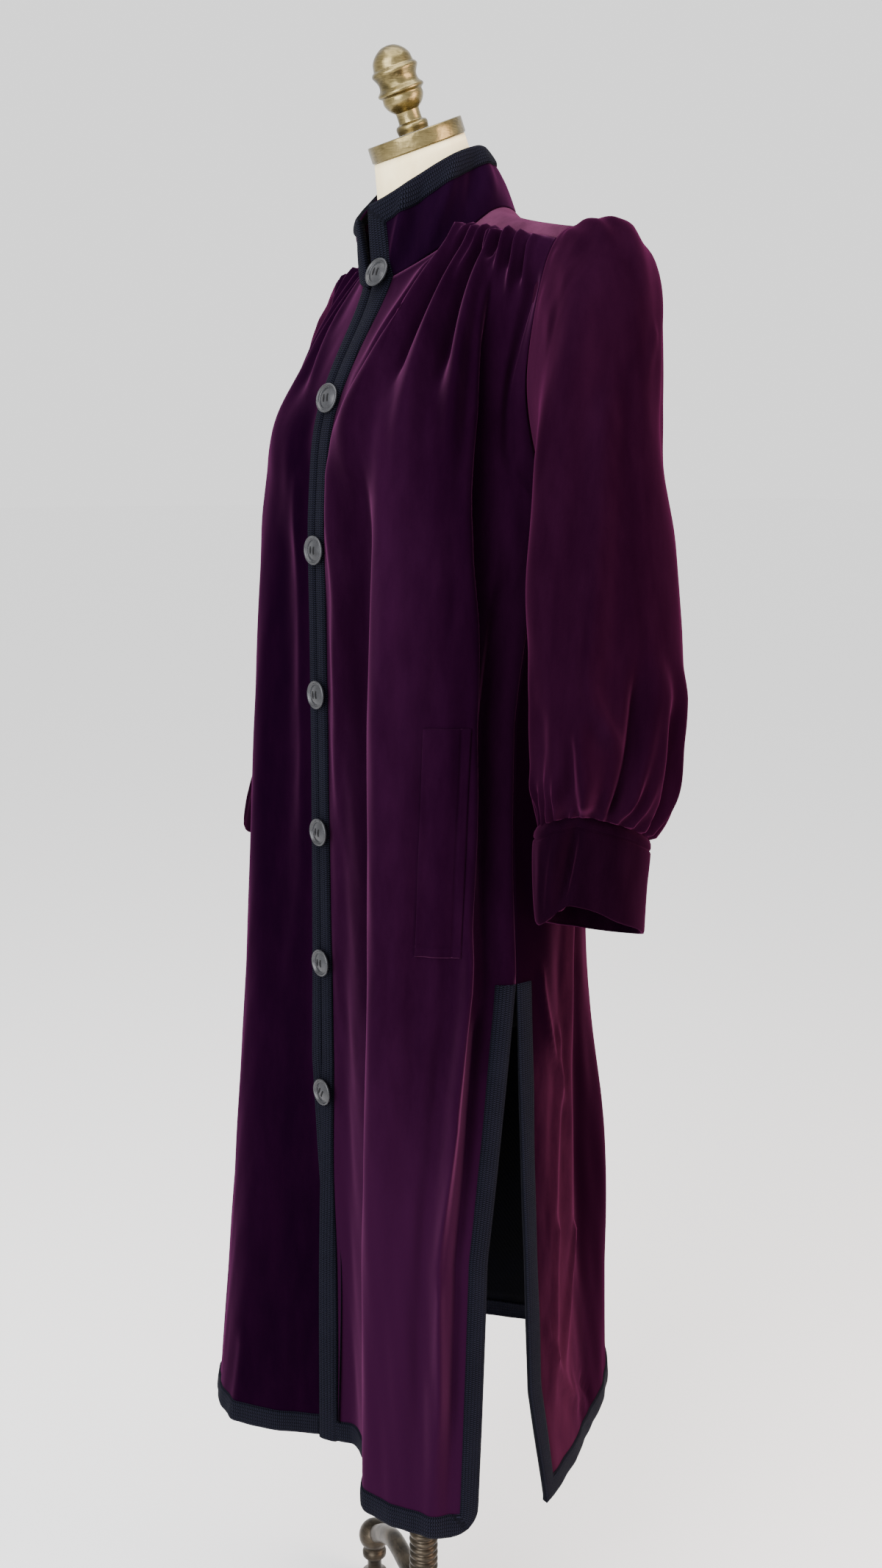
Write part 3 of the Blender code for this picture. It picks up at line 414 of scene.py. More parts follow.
SLEEVE_FOLDS = (
    # turn at the top, turn low down, top station, low station, height, top width, low width
    (0.000, 0.004, 0.10, 1.3, 0.0028, 0.014, 0.020),
    (0.040, 0.048, 0.10, 1.7, 0.0032, 0.013, 0.020),
    (0.085, 0.098, 0.10, 1.2, 0.0026, 0.014, 0.020),
    (0.130, 0.148, 0.10, 1.6, 0.0028, 0.013, 0.020),
    (0.180, 0.200, 0.10, 1.4, 0.0024, 0.015, 0.022),
    (-0.045, -0.055, 0.10, 1.4, 0.0028, 0.014, 0.020),
    (-0.090, -0.105, 0.10, 1.6, 0.0026, 0.014, 0.022),
    (-0.140, -0.155, 0.10, 1.3, 0.0028, 0.015, 0.020),
    (-0.185, -0.205, 0.10, 1.6, 0.0026, 0.014, 0.022),
    (0.150, 0.160, 0.6, 6.4, 0.0060, 0.040, 0.050),
    (-0.030, -0.020, 0.5, 3.4, 0.0045, 0.030, 0.034),
    (-0.120, -0.100, 0.8, 4.4, 0.0045, 0.028, 0.030),
    (0.075, 0.110, 3.6, 7.3, 0.0130, 0.034, 0.020),
    (0.104, 0.055, 6.5, 7.7, 0.0095, 0.014, 0.015),
    (0.122, 0.104, 6.8, 9.95, 0.0110, 0.022, 0.013),
    (0.140, 0.134, 7.0, 9.9, -0.0065, 0.018, 0.011),
    (0.012, 0.045, 6.2, 9.9, -0.0120, 0.016, 0.013),
    (-0.018, 0.018, 6.0, 9.9, 0.0075, 0.024, 0.013),
    (-0.042, -0.050, 6.2, 9.9, 0.0060, 0.022, 0.013),
    (-0.072, -0.078, 6.8, 9.9, -0.0065, 0.020, 0.012),
    (-0.105, -0.100, 6.2, 9.8, 0.0050, 0.026, 0.015),
    (0.230, 0.215, 6.4, 9.4, -0.0040, 0.030, 0.018),
    (0.300, 0.290, 5.4, 9.2, 0.0035, 0.030, 0.020),
    (-0.160, -0.150, 4.8, 8.8, -0.0045, 0.030, 0.018),
    (-0.230, -0.240, 5.0, 8.9, 0.0050, 0.028, 0.018),
    (0.420, 0.430, 4.6, 8.7, -0.0050, 0.030, 0.020),
    (-0.330, -0.320, 4.2, 8.7, -0.0045, 0.030, 0.020),
    (0.010, -0.020, 2.6, 4.6, 0.0030, 0.024, 0.030),
    (-0.070, -0.030, 2.9, 3.9, 0.0030, 0.012, 0.016),
)
SLEEVE_HOLLOWS = (
    # turn at the top, turn low down, top station, low station, height, top width, low width
    (0.000, -0.060, 0.20, 5.5, -0.0130, 0.150, 0.140),
    (0.280, 0.280, 1.00, 6.5, 0.0070, 0.080, 0.080),
    (0.290, 0.300, 4.60, 11.5, -0.0120, 0.090, 0.080),
    (-0.150, -0.150, 1.40, 5.50, -0.0090, 0.070, 0.070),
)
CUFF_GATHERS = (
    # turn, low end's shift, top station, height, width
    (0.015, 0.004, 7.4, 0.0060, 0.0100),
    (0.058, -0.003, 7.9, 0.0050, 0.0090),
    (0.098, 0.003, 7.2, 0.0062, 0.0100),
    (0.137, -0.004, 8.0, 0.0048, 0.0085),
    (0.176, 0.002, 7.6, 0.0060, 0.0095),
    (0.215, -0.002, 7.3, 0.0055, 0.0100),
    (0.258, 0.004, 7.9, 0.0050, 0.0090),
    (0.300, 0.000, 7.5, 0.0058, 0.0100),
    (0.345, -0.003, 7.8, 0.0050, 0.0095),
    (0.395, 0.003, 7.6, 0.0055, 0.0100),
    (0.450, 0.000, 7.9, 0.0050, 0.0100),
    (0.505, 0.002, 7.5, 0.0055, 0.0100),
    (0.560, -0.003, 7.8, 0.0050, 0.0100),
    (0.612, 0.002, 7.4, 0.0055, 0.0100),
    (0.660, 0.000, 7.9, 0.0052, 0.0095),
    (0.706, 0.003, 7.5, 0.0058, 0.0100),
    (0.752, -0.002, 7.8, 0.0050, 0.0095),
    (0.800, 0.003, 7.3, 0.0060, 0.0100),
    (0.846, -0.003, 7.7, 0.0052, 0.0090),
    (0.890, 0.002, 7.5, 0.0058, 0.0100),
    (0.932, -0.002, 7.9, 0.0050, 0.0090),
    (0.973, 0.003, 7.4, 0.0058, 0.0095),
)
CUFF_RINGS = (
    # z, outer_x, inner_x, half_width
    (1.0752, 0.283, 0.212, 0.057),
    (1.0680, 0.2835, 0.2115, 0.0575),
    (1.0300, 0.281, 0.212, 0.056),
    (0.9850, 0.279, 0.212, 0.054),
)
CUFF_FOLDS = (
    # turn at the top, turn at the edge, height, width
    (0.118, 0.165, -0.0115, 0.016),
    (0.162, 0.205, 0.0055, 0.020),
    (0.220, 0.250, 0.0030, 0.040),
    (0.020, 0.000, 0.0025, 0.050),
    (0.330, 0.300, 0.0025, 0.030),
    (-0.180, -0.200, -0.0030, 0.030),
    (0.500, 0.520, 0.0020, 0.040),
)
CUFF_LIFT = (
    # turn, rise of the cuff's seam, rise of its edge
    (0.00, 0.006, 0.008),
    (0.05, 0.012, 0.018),
    (0.10, 0.016, 0.024),
    (0.15, 0.015, 0.025),
    (0.20, 0.011, 0.013),
    (0.25, 0.005, 0.005),
    (0.34, 0.000, 0.002),
    (0.50, -0.012, -0.014),
    (0.60, -0.018, -0.022),
    (0.75, -0.019, -0.022),
    (0.84, -0.017, -0.015),
    (0.92, -0.006, -0.004),
)
CUFF_FOLD_FULLNESS = 0.7
CUFF_STITCHING = (0.89, 0.014)
CUFF_STITCHING_DEPTH = 0.0016
CUFF_TOP_ROLL = 0.0012
CUFF_TOP_START = 0.96
CUFF_EDGE_ROLL = 0.0008
CUFF_EDGE_END = 0.03
RIGHT_LIFT = 0.45
RIGHT_BACKWARD = 0.018
RIGHT_BACKWARD_START = 6.5
RIGHT_LEAN = 0.034

# Buttons
BUTTONS = (
    # x, height, distance of the shank's foot from the front's edge, lean upwards, turn to the left, roll
    (0.0210, 1.571, 0.0040, 20, 13, -6),
    (0.0085, 1.457, 0.0024, 12, 14, 4),
    (0.0085, 1.317, 0.0030, 0, 9, -3),
    (0.0085, 1.178, 0.0029, 0, 6, 5),
    (0.0085, 1.041, 0.0028, 0, 7, -4),
    (0.0085, 0.906, 0.0026, 0, 7, 3),
    (0.0085, 0.768, 0.0025, 0, 8, -24),
)
BUTTON_PROFILE = (
    # radius, height above the shank's foot
    (0.0, 0.0084),
    (0.0034, 0.0082),
    (0.0068, 0.0074),
    (0.0096, 0.0061),
    (0.0107, 0.0056),
    (0.0113, 0.0062),
    (0.0120, 0.0078),
    (0.0128, 0.0081),
    (0.0136, 0.0077),
    (0.0140, 0.0069),
    (0.0138, 0.0058),
    (0.0128, 0.0050),
    (0.0060, 0.0045),
    (0.0030, 0.0040),
    (0.0026, 0.0018),
    (0.0036, 0.0002),
    (0.0, 0.0),
)
BUTTON_STEPS = 48
BUTTON_FACE = 0.0081
BUTTON_HOLE = 0.00115
BUTTON_HOLE_ASIDE = 0.0024
BUTTON_HOLE_UP = 0.0027
BUTTON_HOLE_SINK = 0.0006
BUTTON_HOLE_DEPTH = 0.0014
BUTTON_HOLE_SIDES = 14
THREAD = 0.00100
THREAD_LIFT = 0.0002
THREAD_REACH = 1.15

# Dress form: rings from the hips to the neck
FORM_RINGS = (
    # height at the sides, drop at the front, drop at the back, half_width, front, back, middle
    (0.850, 0.000, 0.000, 0.140, 0.090, 0.105, 0.010),
    (0.970, 0.000, 0.000, 0.150, 0.096, 0.112, 0.010),
    (1.150, 0.000, 0.000, 0.118, 0.080, 0.095, 0.012),
    (1.330, 0.000, 0.000, 0.140, 0.105, 0.095, 0.012),
    (1.440, 0.010, 0.000, 0.152, 0.090, 0.090, 0.016),
    (1.510, 0.020, 0.000, 0.160, 0.075, 0.082, 0.024),
    (1.560, 0.030, 0.010, 0.164, 0.058, 0.066, 0.032),
    (1.593, 0.035, 0.020, 0.158, 0.048, 0.050, 0.036),
    (1.6152, 0.038, 0.018, 0.115, 0.044, 0.048, 0.036),
    (1.616, 0.042, 0.004, 0.074, 0.048, 0.048, 0.026),
    (1.628, 0.040, -0.010, 0.058, 0.050, 0.050, 0.018),
)
FORM_SIDES = 72
NECK_TILT = 22
NECK_CAP_PLACE = (0.0, -0.001, 1.692)
NECK_RADIUS = 0.0452
NECK_WAIST = 0.4
CAP_PROFILE = (
    # radius, height above the cap's underside
    (0.0, 0.0150),
    (0.0425, 0.0150),
    (0.0456, 0.0150),
    (0.0464, 0.0147),
    (0.0467, 0.0140),
    (0.0467, 0.0105),
    (0.0467, 0.0055),
    (0.0467, 0.0012),
    (0.0464, 0.0004),
    (0.0456, 0.0),
    (0.0440, 0.0),
    (0.0, 0.0),
)
FINIAL_PROFILE = (
    # radius, height above the cap
    (0.0, 0.0778),
    (0.0070, 0.0765),
    (0.0136, 0.0722),
    (0.0178, 0.0668),
    (0.0190, 0.0618),
    (0.0195, 0.0594),
    (0.0211, 0.0580),
    (0.0222, 0.0562),
    (0.0221, 0.0544),
    (0.0203, 0.0512),
    (0.0187, 0.0474),
    (0.0190, 0.0428),
    (0.0209, 0.0402),
    (0.0222, 0.0386),
    (0.0220, 0.0366),
    (0.0195, 0.0344),
    (0.0196, 0.0318),
    (0.0192, 0.0286),
    (0.0165, 0.0236),
    (0.0125, 0.0200),
    (0.0114, 0.0184),
    (0.0113, 0.0110),
    (0.0120, 0.0092),
    (0.0146, 0.0078),
    (0.0156, 0.0052),
    (0.0150, 0.0016),
    (0.0148, 0.0),
    (0.0, 0.0),
)

# Stand
POST_RADIUS = 0.0130
POST_RING_RADIUS = 0.0165
POST_RINGS = 12
POST_RING_PITCH = 0.0088
PLAIN_POST_GAP = 0.002
POST_RING_SHAPE = (
    # share of the ring's pitch, share of its height
    (0.95, 0.0),
    (0.84, 0.45),
    (0.70, 0.92),
    (0.52, 1.0),
    (0.35, 0.92),
    (0.20, 0.45),
    (0.09, 0.0),
)
HUB_TOP = 0.135
HUB_PROFILE = (
    # radius, height above the floor
    (0.0, HUB_TOP),
    (0.0200, HUB_TOP),
    (0.0235, 0.1335),
    (0.0290, 0.1275),
    (0.0300, 0.1250),
    (0.0300, 0.1000),
    (0.0290, 0.0975),
    (0.0200, 0.0910),
    (0.0180, 0.0900),
    (0.0, 0.0900),
)
LEG_BEARINGS = (168.7, 288.7, 48.7)
LEG_RADIUS = 0.0110
LEG_ROUTE = (
    # reach from the post, height
    (0.0308, 0.116),
    (0.0600, 0.117),
    (0.1050, 0.114),
    (0.1420, 0.096),
    (0.1680, 0.077),
)
LEG_POINTS = 33
LEG_SIDES = 24
FOOT_BALL = 0.0195
FOOT_PROFILE = (
    # radius, height above the floor, under the ball
    (0.0104, 0.0480),
    (0.0140, 0.0452),
    (0.0152, 0.0420),
    (0.0150, 0.0375),
    (0.0112, 0.0335),
    (0.0090, 0.0310),
    (0.0088, 0.0180),
    (0.0105, 0.0148),
    (0.0160, 0.0115),
    (0.0170, 0.0095),
    (0.0170, 0.0010),
    (0.0160, 0.0),
    (0.0, 0.0),
)
FOOT_BALL_RISES = np.linspace(90, -55, 12)
TURNED_STEPS = 56

# How finely the pieces are cut up, and how near two points are to join
HEM_ROWS = 8
SKIRT_ROWS = 56
SLIT_ROWS = HEM_ROWS + SKIRT_ROWS
SLIT_COLUMNS = 8
SLIT_BRAID_COLUMNS = 6
STRIP_COLUMNS = 5
STRIP_STEPS = 12
LINING_ROWS = 44
COLLAR_END_COLUMNS = 8
COLLAR_BRAID_ROWS = 9
SLEEVE_SIDES = 180
CUFF_SIDES = 120
FORM_ROWS = 61
NECK_ROWS = 13
FINIAL_SMOOTHING = 4
POST_STEPS = 48
FOOT_STEPS = 40
JOIN = 1e-6

# Studio: a white sky, soft panels of light turned to the coat's middle, and a pale floor
SKY_STRENGTH = 1.5
LIGHT_AIM = (0, 0, 1.05)
LIGHTS = (
    # name, bearing, distance from the origin, height, width and length, power, colour
    ("window", 28, 2.7, 1.9, (1.8, 2.6), 175, (0.95, 0.96, 1.0)),
    ("warm_side", 128, 2.4, 1.4, (1.2, 2.2), 95, (1.0, 0.72, 0.58)),
    ("overhead", 60, 0.5, 3.1, (1.8, 1.8), 60, (1, 1, 1)),
)
FLOOR_REACH = 60

# Camera of the photograph: pixels of a 1200 by 2133 picture, degrees and metres
PICTURE_WIDTH = 1200
FOCAL_PIXELS = 2085
SENSOR = 36
CAMERA_AZIMUTH = 58
CAMERA_PITCH = 11.5
CAMERA_DISTANCE = 1.55
CAMERA_HEIGHT = 1.39
CAMERA_ASIDE = 0.02


def hermite(start, start_slope, end, end_slope, t):
    """The cubic from start to end with these slopes."""
    t2 = t * t
    t3 = t2 * t
    return (
        start * (2 * t3 - 3 * t2 + 1)
        + start_slope * (t3 - 2 * t2 + t)
        + end * (3 * t2 - 2 * t3)
        + end_slope * (t3 - t2)
    )


def curve(keys, values, at):
    """The smooth curve through a table: rising keys, and a value or row of values for each."""
    keys = np.asarray(keys, float)
    values = np.asarray(values, float)
    at = np.asarray(at, float)
    slopes = np.gradient(values, keys, axis=0)
    low = np.clip(np.searchsorted(keys, at) - 1, 0, len(keys) - 2)
    width = keys[low + 1] - keys[low]
    t = np.clip((at - keys[low]) / width, 0, 1)
    shape = t.shape + (1,) * (values.ndim - 1)
    t = t.reshape(shape)
    width = width.reshape(shape)
    return hermite(values[low], slopes[low] * width, values[low + 1], slopes[low + 1] * width, t)


def ease(t):
    """A smooth step from 0 to 1."""
    t = np.clip(t, 0, 1)
    return t * t * (3 - 2 * t)


def bell(x, middle, width):
    """A soft bump of height 1 about a middle."""
    return np.exp(-(((x - middle) / width) ** 2))


def soft_fade(table, at):
    """A table's smooth value at these places, never below 0 and held beyond the table's ends."""
    rows = np.array(table)
    return np.maximum(curve(rows[:, 0], rows[:, 1], np.clip(at, rows[0, 0], rows[-1, 0])), 0)


def reach(height, bearing, half):
    """Distance from the post to the coat at these heights and bearings, on one half of it."""
    table = np.array(half)
    around = curve(table[:, 0], table[:, 1:], height)
    slopes = np.gradient(around, BEARINGS, axis=-1)
    slopes[..., 0] = 0
    slopes[..., -1] = 0
    low = np.clip(np.searchsorted(BEARINGS, bearing) - 1, 0, len(BEARINGS) - 2)
    width = BEARINGS[low + 1] - BEARINGS[low]
    t = (bearing - BEARINGS[low]) / width

    def at(array, index):
        return np.take_along_axis(array, index[..., None], -1)[..., 0]

    start_slope = at(slopes, low) * width
    end_slope = at(slopes, low + 1) * width
    return hermite(at(around, low), start_slope, at(around, low + 1), end_slope, t)


def around_post(distance, bearing, height):
    angle = np.radians(bearing)
    return np.stack([distance * np.sin(angle), -distance * np.cos(angle), height + 0 * angle], -1)


def side_edge(height, panel):
    """Bearing of a panel's side edge: panel 1 is the front and 2 the back."""
    rows = np.array(SIDE_EDGES)
    return np.interp(height, rows[:, 0], rows[:, panel])


def neckline(bearing):
    angle = np.radians(bearing)
    depth = np.where(np.cos(angle) > 0, NECK_FRONT, NECK_BACK)
    rows = np.array(NECK_HEIGHTS)
    height = curve(rows[:, 0], rows[:, 1], np.abs(bearing))
    return np.stack([NECK_HALF_WIDTH * np.sin(angle), NECK_MIDDLE - depth * np.cos(angle), height], -1)


def armhole(turn):
    """The left armhole's seam, a closed curve: turn 0 is the shoulder point and 0.5 the underarm."""
    height = np.array([UNDERARM])
    bearing = side_edge(height, 1)
    underarm = around_post(reach(height, bearing, LEFT_HALF), bearing, height)[0]
    points = np.array([underarm if point is None else point for point in ARMHOLE])
    count = len(points)
    wrapped = np.concatenate([points, points, points])
    return curve(np.arange(3 * count) / count - 1, wrapped, np.mod(turn, 1.0))


def yoke_seam(share):
    """The seam between a front and the yoke, from the neckline to the armhole."""
    start = neckline(np.array([YOKE_BEARING]))[0]
    end = armhole(np.array([FRONT_CORNER]))[0]
    return start + (end - start) * np.asarray(share)[..., None]


def back_seam(share):
    """The seam between the back and the yoke, from the left armhole to centre back."""
    share = np.asarray(share)
    start = armhole(np.array([BACK_CORNER]))[0]
    line = start + (np.array(BACK_SEAM_MIDDLE) - start) * share[..., None]
    line[..., 1] = start[1] + (BACK_SEAM_MIDDLE[1] - start[1]) * (1 - (1 - share) ** 2)
    return line


def normals(grid):
    """Unit normals of a grid of points, by the hand of its columns and rows."""
    normal = np.cross(np.gradient(grid, axis=1), np.gradient(grid, axis=0))
    return normal / np.maximum(np.linalg.norm(normal, axis=-1, keepdims=True), 1e-12)


def ridges(table, across, along, soft_low=0.35, soft_top=0.06):
    """Height of the folds of a table over a cloth's own coordinates, each fading out at its two ends."""
    total = np.zeros(np.broadcast(across, along).shape)
    for top_place, low_place, top, low, height, top_width, low_width in table:
        share = (along - low) / (top - low)
        middle = low_place + (top_place - low_place) * ease(share)
        width = low_width + (top_width - low_width) * np.clip(share, 0, 1)
        ends = ease(share / soft_low) * ease((1 - share) / soft_top)
        total += height * ends * bell(across, middle, width)
    return total


def rise(start, top, lean, share, stiffness=1.0):
    """Rows from the underarm to a top edge: upright at first, longer so with stiffness, then leaning."""
    length = np.linalg.norm(top - start, axis=-1, keepdims=True)
    upright = np.array((0.0, 0.0, 1.0)) * length * stiffness
    return hermite(start, upright, top, np.array(lean) * length, share[..., None])


def slack(across, along, depth):
    """A slight unevenness of hanging cloth."""

    def wave(by_column, by_height, start):
        return np.sin(by_column * across + by_height * along + start)

    uneven = sum(share * wave(*first) * wave(*second) for share, first, second in SLACK_WAVES)
    return depth * uneven * ease((YOKE_LEVEL - along) / SLACK_UNDER_YOKE)


def front_bearing(height, column, half):
    """Bearings of a front's columns: 0 is its edge, 1 the strip's inner edge and the last the side."""
    centre = reach(height, 0 * height, half)
    first = np.degrees(FRONT_EDGE / centre)
    edge = side_edge(height, 1)
    side = reach(height, edge, half)
    last = edge - np.degrees(SEAM / side)
    inner = first + np.degrees(STRIP_WIDTH / centre)
    outer = last - np.degrees(BRAID_WIDTH / side)
    share = np.interp(column, (1, NECK_COLUMN, SLIT_COLUMN), (0, NECK_SHARE, 1))
    middle = inner + (outer - inner) * share + np.minimum(column - 1, 0) * (inner - first)
    return middle + np.maximum(column - SLIT_COLUMN, 0) * (last - outer)


def front_top(column):
    """A front's top edge: half the neckline, then the yoke's seam."""
    first = math.degrees(FRONT_EDGE / NECK_FRONT)
    strip = first + math.degrees(STRIP_WIDTH / NECK_FRONT)
    bearing = np.interp(column, (0, 1, NECK_COLUMN), (first, strip, YOKE_BEARING))
    seam = np.clip((column - NECK_COLUMN) / (SIDE_COLUMN - NECK_COLUMN), 0, 1)
    return np.where((column > NECK_COLUMN)[..., None], yoke_seam(seam), neckline(bearing))


def front_form(column, level, half):
    """A front without its folds."""
    height = np.minimum(level, UNDERARM)
    bearing = front_bearing(height, column, half)
    skirt = around_post(reach(height, bearing, half), bearing, height)
    share = np.clip((level - UNDERARM) / CHEST, 0, 1)
    last = np.full_like(column, SIDE_COLUMN)
    underarm = np.full_like(level, UNDERARM)
    bearing = front_bearing(underarm, last, half)
    start = around_post(reach(underarm, bearing, half), bearing, underarm)
    side = rise(start, front_top(last), FRONT_LEAN, share)
    pull = ease((column - (SIDE_COLUMN - ARMHOLE_COLUMNS)) / ARMHOLE_COLUMNS)[..., None]
    edge = armhole(UNDERARM_POINT + (FRONT_CORNER - UNDERARM_POINT) * share)
    near_neck = (1 - ease(column / NECK_REACH))[..., None]
    lean = FRONT_LEAN + np.subtract(NECK_LEAN, FRONT_LEAN) * near_neck
    stiffness = 1 + (NECK_UPRIGHT - 1) * near_neck
    chest = rise(skirt, front_top(column), lean, share, stiffness) + (edge - side) * pull
    return np.where((share > 0)[..., None], chest, skirt)


def rounded(column, level):
    """Rounds the corner of a front between its hem and its slit."""
    s = np.clip((column - (SIDE_COLUMN - CORNER_COLUMNS)) / CORNER_COLUMNS, 0, 1)
    t = np.clip((HEM + CORNER_HEIGHT - level) / CORNER_HEIGHT, 0, 1)
    moved = column - s * CORNER_COLUMNS * (1 - np.sqrt(1 - t * t / 2))
    return moved, level + t * CORNER_HEIGHT * (1 - np.sqrt(1 - s * s / 2))


def softened(form, column, level, half, side_column):
    """A panel's form with its bend at the underarm's height eased, except along the armhole."""
    near = ease(1 - np.abs(level - UNDERARM) / (3 * SOFT_BEND)) * ease(np.abs(side_column - column) / 2)
    shifted = [form(column, level + step * SOFT_BEND * near, half) for step in SOFT_STEPS]
    return sum(shifted) / len(SOFT_STEPS)


def pleat(column, level):
    """A front's long pleat: a rolled edge, and a floor behind it that comes back to the side."""
    rows = np.array(PLEAT)
    edge = curve(rows[:, 0], rows[:, 1], np.clip(level, rows[0, 0], rows[-1, 0]))
    depth = soft_fade(rows[:, (0, 2)], level)
    back = edge + PLEAT_FLOOR
    fall = ease((column - edge) / PLEAT_FALL) * (1 - ease((column - back) / (SIDE_COLUMN - back)))
    roll = bell(column, edge - PLEAT_ROLL_PLACE, PLEAT_ROLL_WIDTH)
    roll *= ease((edge + PLEAT_FALL - column) / PLEAT_FALL)
    return roll * PLEAT_ROLL * ease(depth / PLEAT_ROLL_DEPTH) - depth * fall


def draw_in(points, depth):
    """Moves points level towards the post."""
    distance = np.linalg.norm(points[..., :2], axis=-1)
    points[..., :2] *= (1 - depth / distance)[..., None]


def gather_puff(column, level):
    under_yoke = ease((column - NECK_COLUMN + 1) / 2) * ease((SIDE_COLUMN - column) / 2)
    return GATHER_PUFF * under_yoke * bell(level, YOKE_LEVEL - PUFF_DROP, PUFF_DROP)


def front_points(side, column, level):
    """Points and outward normals of a front's outside on a grid of columns and levels, from the hem up."""
    half = LEFT_HALF if side > 0 else RIGHT_HALF
    column, level = rounded(column, level)
    points = softened(front_form, column, level, half, SIDE_COLUMN)
    folds = ridges(LEFT_FOLDS if side > 0 else RIGHT_FOLDS, column, level) + pleat(column, level)
    folds += gather_puff(column, level) * (1 if side > 0 else RIGHT_PUFF)
    folds += slack(column + 3 * side, level, FRONT_SLACK)
    folds *= ease((column - FRONT_FOLD_START) / FRONT_FOLD_EASE)
    folds *= ease((SIDE_COLUMN + FRONT_FOLD_PAST_SIDE - column) / FRONT_FOLD_EASE)
    points += normals(points) * folds[..., None]
    draw_in(points, soft_fade(SIDE_HOLLOW, level) * ease((column - HOLLOW_START) / HOLLOW_EASE))
    lap = soft_fade(LAP, level)
    if side > 0:
        lap *= ease((LEFT_LAP_END - column) / LEFT_LAP_EASE)
        points[..., 0] -= LAP_ACROSS * lap
        points[..., 1] -= LAP_OUT * lap
    else:
        lap *= ease((RIGHT_LAP_END - column) / RIGHT_LAP_EASE)
        points[..., 0] -= LAP_BEHIND * lap
        points[..., 1] += LAP_UNDER * lap
    points[..., 0] *= side
    return points, normals(points) * side


def back_bearing(height, column, half):
    edge = side_edge(height, 2)
    distance = reach(height, edge, half)
    first = edge + np.degrees(SEAM / distance)
    inner = first + np.degrees(BRAID_WIDTH / distance)
    share = np.clip((column - 1) / (BACK_MIDDLE - 1), 0, 1)
    return inner + (180 - inner) * share + np.minimum(column - 1, 0) * (inner - first)


def back_form(column, level, half):
    """Half the back without its folds, columns from the side to centre back."""
    height = np.minimum(level, UNDERARM)
    bearing = back_bearing(height, column, half)
    skirt = around_post(reach(height, bearing, half), bearing, height)
    share = np.clip((level - UNDERARM) / CHEST, 0, 1)
    first = np.zeros_like(column)
    underarm = np.full_like(level, UNDERARM)
    bearing = back_bearing(underarm, first, half)
    start = around_post(reach(underarm, bearing, half), bearing, underarm)
    side = rise(start, back_seam(first), BACK_LEAN, share)
    pull = ease((ARMHOLE_COLUMNS - column) / ARMHOLE_COLUMNS)[..., None]
    edge = armhole(UNDERARM_POINT + (BACK_CORNER - UNDERARM_POINT) * share)
    chest = rise(skirt, back_seam(column / BACK_MIDDLE), BACK_LEAN, share) + (edge - side) * pull
    return np.where((share > 0)[..., None], chest, skirt)


def back_points(column, level):
    """Points and outward normals of the back's outside, columns from its left side round to its right."""
    from_side = np.minimum(column, BACK_END - column)
    left = softened(back_form, from_side, level, LEFT_HALF, 0)
    right = softened(back_form, from_side, level, RIGHT_HALF, 0) * np.array((-1.0, 1.0, 1.0))
    points = np.where((column <= BACK_MIDDLE)[..., None], left, right)
    folds = ridges(BACK_FOLDS, column, level) + slack(BACK_SLACK_PITCH * column, level, BACK_SLACK)
    folds *= ease((from_side + BACK_FOLD_PAST_SIDE) / BACK_FOLD_EASE)
    points += normals(points) * folds[..., None]
    draw_in(points, soft_fade(SIDE_HOLLOW, level) * ease((HOLLOW_BACK - from_side) / HOLLOW_BACK))
    return points, normals(points)


def resampled(grid, rows, columns):
    """A coarse grid of points, smoothed onto more rows and columns."""
    tall = curve(np.arange(grid.shape[0]), grid, np.linspace(0, grid.shape[0] - 1, rows))
    wide = curve(np.arange(grid.shape[1]), tall.swapaxes(0, 1), np.linspace(0, grid.shape[1] - 1, columns))
    return wide.swapaxes(0, 1)


def yoke_points():
    """Points of the yoke's outside, rows from the neckline out and columns from the left front round."""
    bearing = np.array(YOKE_BEARINGS, float)
    turn = np.linspace(FRONT_CORNER, BACK_CORNER - 1, YOKE_SIDE_POINTS)
    outer = np.concatenate([armhole(turn), back_seam(np.linspace(0, 1, YOKE_SIDE_POINTS))[1:]])
    inner = neckline(bearing)
    share = np.array(YOKE_SHARES)[:, None, None]
    half = inner + (outer - inner) * share
    behind = ease((bearing - YOKE_RIDGE) / (180 - YOKE_RIDGE))[None, :, None]
    half += BACK_BULGE * 4 * share * (1 - share) * behind * BULGE_DIRECTION
    seam = half[:, 1] - half[:, 0]
    half[:, 0] += YOKE_SEAM * seam / np.linalg.norm(seam, axis=-1, keepdims=True)
    mirrored = half[:, -2::-1] * np.array((-1.0, 1.0, 1.0))
    return resampled(np.concatenate([half, mirrored], 1), YOKE_ROWS, YOKE_COLUMNS)


def collar_sag(bearing):
    """How far the collar's top edge hangs down on its right, most where it nears the front."""
    start, full, easing, end = SAG_BEARINGS
    eased = 1 - SAG_EASING * ease((bearing - easing) / (end - easing))
    return COLLAR_SAG * ease((bearing - start) / (full - start)) * eased


